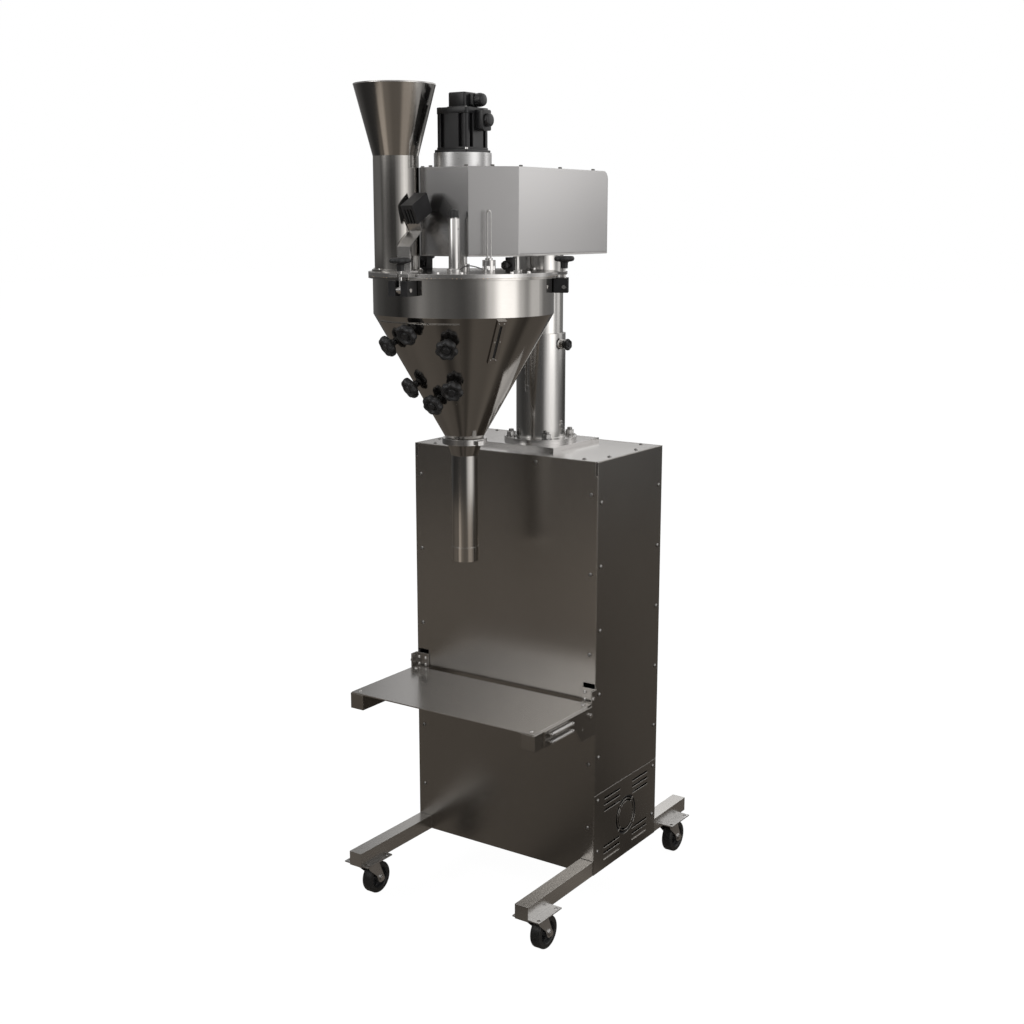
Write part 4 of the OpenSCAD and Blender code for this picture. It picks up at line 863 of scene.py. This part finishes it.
def shelf_fittings():
    """Screws of the corner brackets and the shelf, bolts on the cheeks, and the arms' end plugs."""
    arm_low, arm_high = node_box("shelf_arms")
    plate_low, plate_high = node_box("shelf_plate")
    bracket_t = 3
    face = arm_high.y - bracket_t
    arm_z = 494
    cheek = 256
    bm = bmesh.new()
    for s in (-1, 1):
        for x in (226, 246):
            for z in (519, 536):
                socket_head(bm, at((s * x, face, z), (0, -1, 0)), 7.5, 2.6, 0.8)
        for y in (plate_low.y + 14, plate_high.y - 14):
            socket_head(bm, at((s * 236, y, plate_high.z)), 8, 2.4, 1.2)
        hex_head(bm, at((s * (cheek - 0.1), face - 28, arm_z), (s, 0, 0)), 10, 5)
        hex_head(bm, at((s * (cheek - 0.1), face - 14, 530), (s, 0, 0)), 7, 3.4)
        for low, high in islands("shelf_springs"):
            if s * low.x > 0:
                for y in (low.y + 4.9, high.y - 4.9):
                    lathe(bm, [(0, 0), (4.2, 0), (4.4, 0.8), (3.6, 2), (0, 2.2)],
                          at((s * (cheek + 8.2), y, (low.z + high.z) / 2), (s, 0, 0)), sides=20)
    make("shelf_bolts", bm, SCREW, "cabinet", "screw_steel")
    bm = bmesh.new()
    for s in (-1, 1):
        block(bm, (31.6, 31.6, 1.4), 2.4, 0.5, at((s * 235, arm_low.y + 1.8, arm_z), (0, -1, 0)))
    make("arm_plugs", bm, SATIN, "cabinet", "satin_steel")


shelf_fittings()


# Weld beads of the legs, the shelf's arms and the column

def bead(bm, start, end, r, step=2.2):
    """Weld bead with small ripples, between two points."""
    start, end = Vector(start), Vector(end)
    length = (end - start).length
    count = max(4, round(length / step * 2))
    ahead = (end - start).normalized()
    side = ahead.orthogonal().normalized()
    other = ahead.cross(side)
    rings = []
    for i in range(count + 1):
        rr = r * (0.82 if i % 2 else 1.0) * (0.3 if i in (0, count) else 1)
        centre = start.lerp(end, i / count)
        turns = [math.pi * k / 4 for k in range(8)]
        rings.append([centre + side * rr * math.cos(t) + other * rr * math.sin(t) for t in turns])
    skin(bm, rings)


def welds():
    """Beads along the legs' inner sides and round the arms' feet, and a ring round the column's foot."""
    low, high = node_box("base_frame")
    leg_s = 34
    cabinet_d = 290
    bm = bmesh.new()
    inner = high.x - leg_s
    front = front_y / MM
    arm_x = 217
    arm_face = front - 3.4
    for s in (-1, 1):
        for y in (front + 1.2, front + cabinet_d - 1.2):
            bead(bm, (s * inner, y, low.z + 1), (s * inner, y, high.z - 1), 1.5)
        bead(bm, (s * inner, front + 2, low.z + 0.6), (s * inner, front + 36, low.z + 0.6), 1.4)
        bead(bm, (s * arm_x, arm_face, 477), (s * arm_x, arm_face, 511), 1.3)
        bead(bm, (s * 219, arm_face, 476), (s * 251, arm_face, 476), 1.3)
    ring = node_box("column_base")[1].z
    column_r = 57.15
    reach = column_r + 0.6
    points = [(column.x / MM + reach * math.cos(t), column.y / MM + reach * math.sin(t), ring + 0.3)
              for t in [2 * math.pi * k / 90 for k in range(90)]]
    pipe(bm, points, 1.6, sides=6, looped=True)
    make("weld_beads", bm, TUBE, "cabinet", "satin_steel")


welds()


# Studio: a pale floor, a white world, soft lamps, and a round room that only reflections see

floor_size = 60
floor_glow = 1.05
floor_glow_share = 0.93
world_seen = 1.0
world_fill = 0.5

# Strongest glow of the room; its tiers are written as brightness up to this
glow_top = 3.0


def staged(name, mesh):
    """A piece of the studio from its mesh."""
    made = bpy.data.objects.new(name, mesh)
    bpy.context.scene.collection.objects.link(made)
    return made


def plane(name, size):
    """Square sheet at floor level."""
    mesh = bpy.data.meshes.new(name)
    half = size / 2
    square = [(-half, -half, 0), (half, -half, 0), (half, half, 0), (-half, half, 0)]
    mesh.from_pydata(square, [], [(0, 1, 2, 3)])
    return staged(name, mesh)


def either(tree, *outputs):
    """One where any of the outputs is one."""
    last = outputs[0]
    for output in outputs[1:]:
        made = add_node(tree, "ShaderNodeMath", operation="MAXIMUM")
        tree.links.new(last, made.inputs[0])
        tree.links.new(output, made.inputs[1])
        last = made.outputs[0]
    return last


def mixed(tree, factor, first, second, out):
    """Blend of two shaders by a factor, led to an output."""
    made = add_node(tree, "ShaderNodeMixShader")
    tree.links.new(factor, made.inputs["Fac"])
    tree.links.new(first, made.inputs[1])
    tree.links.new(second, made.inputs[2])
    tree.links.new(made.outputs[0], out)


floor = plane("floor", floor_size)
floor_material, floor_tree, floor_shader = new_material("pale floor")
floor_shader.inputs["Roughness"].default_value = 0.9
pale = ramp(floor_tree, stretched_noise(floor_tree, (3, 3, 3)), (0.86, 0.86, 0.86), (0.88, 0.88, 0.88))
floor_tree.links.new(pale, floor_shader.inputs["Base Color"])
glow = add_node(floor_tree, "ShaderNodeEmission", Color=(1, 1, 1, 1), Strength=floor_glow)
floor_path = add_node(floor_tree, "ShaderNodeLightPath")
seen_share = add_node(floor_tree, "ShaderNodeMath", operation="MULTIPLY")
seen_share.inputs[1].default_value = floor_glow_share
floor_tree.links.new(floor_path.outputs["Is Camera Ray"], seen_share.inputs[0])
mixed(floor_tree, seen_share.outputs[0], floor_shader.outputs[0], glow.outputs[0],
      floor_tree.nodes["Material Output"].inputs["Surface"])
floor.data.materials.append(floor_material)

world = bpy.data.worlds.new("studio")
bpy.context.scene.world = world
world.use_nodes = True
world_tree = world.node_tree
world_tree.nodes.clear()
seen = add_node(world_tree, "ShaderNodeBackground", Color=(1, 1, 1, 1), Strength=world_seen)
fill = add_node(world_tree, "ShaderNodeBackground", Color=(1, 1, 1, 1), Strength=world_fill)
path = add_node(world_tree, "ShaderNodeLightPath")
world_out = add_node(world_tree, "ShaderNodeOutputWorld")
direct = either(world_tree, path.outputs["Is Camera Ray"], path.outputs["Is Glossy Ray"],
                path.outputs["Is Transmission Ray"])
mixed(world_tree, direct, fill.outputs[0], seen.outputs[0], world_out.inputs["Surface"])


def lamp(name, place, target, size, power):
    """Soft lamp for the matt pieces; metal mirrors the room in its stead."""
    data = bpy.data.lights.new(name, "AREA")
    data.shape = "RECTANGLE"
    data.size, data.size_y = size
    data.energy = power
    made = bpy.data.objects.new(name, data)
    made.location = place
    made.rotation_euler = (Vector(target) - Vector(place)).to_track_quat("-Z", "Y").to_euler()
    made.visible_glossy = False
    bpy.context.scene.collection.objects.link(made)


lamp("key", (-2.6, -2.6, 3.4), (0, 0, 0.9), (1.8, 1.8), 80)
lamp("side", (3.6, 0.6, 2.2), (0, 0, 1.0), (0.7, 2.6), 50)
lamp("back", (-1.4, 3.4, 2.8), (0, 0, 1.0), (1.4, 1.4), 35)


def mirrored_only(made):
    """Leaves a piece of the studio to reflections alone."""
    made.visible_camera = False
    made.visible_diffuse = False
    made.visible_shadow = False
    made.visible_transmission = False
    made.visible_volume_scatter = False


def round_ramp(tree, bearing, stops, tint):
    """Brightness by bearing in degrees; the ramp closes on itself behind the machine."""
    made = add_node(tree, "ShaderNodeValToRGB")
    made.color_ramp.interpolation = "EASE"
    made.color_ramp.elements[0].position = 0
    made.color_ramp.elements[1].position = 1
    behind = (stops[0][1] + stops[-1][1]) / 2
    for element in made.color_ramp.elements:
        element.color = (*shade(tint, behind / glow_top), 1)
    for angle, value in stops:
        element = made.color_ramp.elements.new((angle + 180) / 360)
        element.color = (*shade(tint, value / glow_top), 1)
    tree.links.new(bearing, made.inputs["Fac"])
    return made.outputs["Color"]


def blended(tree, measure, tiers):
    """Tiers of brightness, each blended into the next over a stretch of a measured distance."""
    place = add_node(tree, "ShaderNodeTexCoord")
    around = add_node(tree, "ShaderNodeTexGradient", gradient_type="RADIAL")
    tree.links.new(place.outputs["Object"], around.inputs["Vector"])
    colour = None
    for start, end, tint, stops in tiers:
        this = round_ramp(tree, around.outputs["Fac"], stops, tint)
        if colour is None:
            colour = this
            continue
        share = add_node(tree, "ShaderNodeMapRange", interpolation_type="SMOOTHSTEP")
        share.inputs["From Min"].default_value = start
        share.inputs["From Max"].default_value = end
        tree.links.new(measure, share.inputs["Value"])
        mix = add_node(tree, "ShaderNodeMix", data_type="RGBA")
        tree.links.new(share.outputs["Result"], mix.inputs[0])
        tree.links.new(colour, mix.inputs[6])
        tree.links.new(this, mix.inputs[7])
        colour = mix.outputs[2]
    glow = add_node(tree, "ShaderNodeEmission", Strength=glow_top)
    tree.links.new(colour, glow.inputs["Color"])
    tree.links.new(glow.outputs[0], tree.nodes["Material Output"].inputs["Surface"])


def room(name, profile, upright, tiers):
    """Turned sheet round the machine; its tiers go by height if it is upright, else by distance."""
    bm = bmesh.new()
    lathe(bm, profile, sides=96)
    mesh = bpy.data.meshes.new(name)
    bm.to_mesh(mesh)
    bm.free()
    mirrored_only(staged(name, mesh))
    material, tree, shader = new_material(name)
    tree.nodes.remove(shader)
    place = add_node(tree, "ShaderNodeTexCoord")
    if upright:
        measure = add_node(tree, "ShaderNodeSeparateXYZ")
        result = measure.outputs["Z"]
    else:
        measure = add_node(tree, "ShaderNodeVectorMath", operation="LENGTH")
        result = measure.outputs["Value"]
    tree.links.new(place.outputs["Object"], measure.inputs[0])
    blended(tree, result, tiers)
    mesh.materials.append(material)


# Light and dark that the steel mirrors. A tier is where its blend starts and ends in metres,
# its tint, and (bearing, brightness) pairs; the machine's front is at a bearing of -90 degrees
warm = (1, 0.88, 0.76)
plain = (1, 0.985, 0.97)
room("wall", [(5, 0.003), (5, 6)], True, (
    (0, 0, plain, ((-150, 0.04), (-105, 0.05), (-85, 0.07), (-60, 0.07), (-46, 0.1), (-36, 0.5), (-26, 0.9),
                   (-8, 1.2), (8, 1.2), (22, 0.6), (40, 0.22), (56, 0.12), (75, 0.05), (110, 0.1),
                   (150, 0.1))),
    (0.75, 0.95, plain, ((-160, 0.06), (-148, 0.05), (-138, 0.03), (-128, 0.08), (-118, 0.22),
                         (-108, 0.36), (-92, 0.22), (-75, 0.15), (-55, 0.1), (-42, 0.17), (-32, 0.4),
                         (-22, 1.1), (-8, 2.4),
                         (8, 2.3), (20, 0.9), (30, 0.5), (40, 0.95), (52, 0.9), (66, 0.27), (90, 0.2),
                         (125, 0.15), (160, 0.12))),
    (1.3, 1.42, plain, ((-160, 0.2), (-140, 0.22), (-126, 0.13), (-112, 0.16), (-95, 0.1), (-78, 0.05),
                        (-62, 0.06), (-48, 0.25), (-37, 0.58), (-26, 1.1), (-12, 1.5), (2, 1.3), (14, 0.4),
                        (24, 0.04), (40, 0.05), (48, 0.6), (53, 1.15), (60, 0.4), (66, 0.3), (80, 0.3),
                        (112, 0.1), (125, 0.2), (140, 0.2), (160, 0.12))),
    (1.5, 1.8, plain, ((-160, 0.2), (-140, 0.2), (-126, 0.12), (-112, 0.2), (-95, 0.12), (-78, 0.06),
                       (-62, 0.08), (-48, 0.3), (-37, 0.58), (-26, 1.1), (-12, 1.5), (2, 1.3), (14, 0.5),
                       (26, 0.1), (40, 0.2), (48, 1.0), (53, 1.7), (60, 0.7), (68, 0.4), (85, 0.3),
                       (112, 0.03), (119, 0.05), (125, 0.2), (132, 0.35), (142, 0.3), (160, 0.15))),
    (1.94, 2.1, plain, ((-160, 0.3), (-135, 0.16), (-130, 0.3), (-124, 0.9), (-117, 2.6), (-106, 2.8),
                         (-95, 1.0), (-80, 0.6), (-38, 0.7), (-15, 1.5), (5, 1.2), (30, 0.6), (57, 1.5),
                         (80, 0.9), (112, 1.4), (122, 1.35), (131, 0.6), (137, 0.1), (150, 0.3)))))
room("ground", [(0, 0.002), (1.6, 0.002), (40, 0.002)], False, (
    (0, 0, warm, ((-160, 0.12), (-140, 0.14), (-105, 0.12), (-88, 0.05), (-72, 0.11), (-56, 0.07),
                  (-42, 0.14), (-10, 0.13), (18, 0.17), (34, 0.07), (44, 0.05), (54, 0.12), (70, 0.12),
                  (100, 0.12), (150, 0.12))),
    (1.6, 2.2, warm, ((-172, 0.12), (-147, 0.18), (-132, 0.2), (-114, 0.18), (-106, 0.6), (-96, 0.6),
                      (-84, 0.25), (-61, 0.17), (-40, 0.17), (-24, 0.45), (-8, 0.45), (7, 0.25), (26, 0.03),
                      (46, 0.03), (56, 0.13), (75, 0.12), (110, 0.15), (150, 0.12)))))

room("ceiling", [(0, 6), (5, 6)], False, (
    (0, 0, plain, ((-90, 0.42), (0, 0.5), (90, 0.62))),
    (6.2, 7.8, plain, ((-90, 0.8), (0, 1.0), (90, 1.2)))))
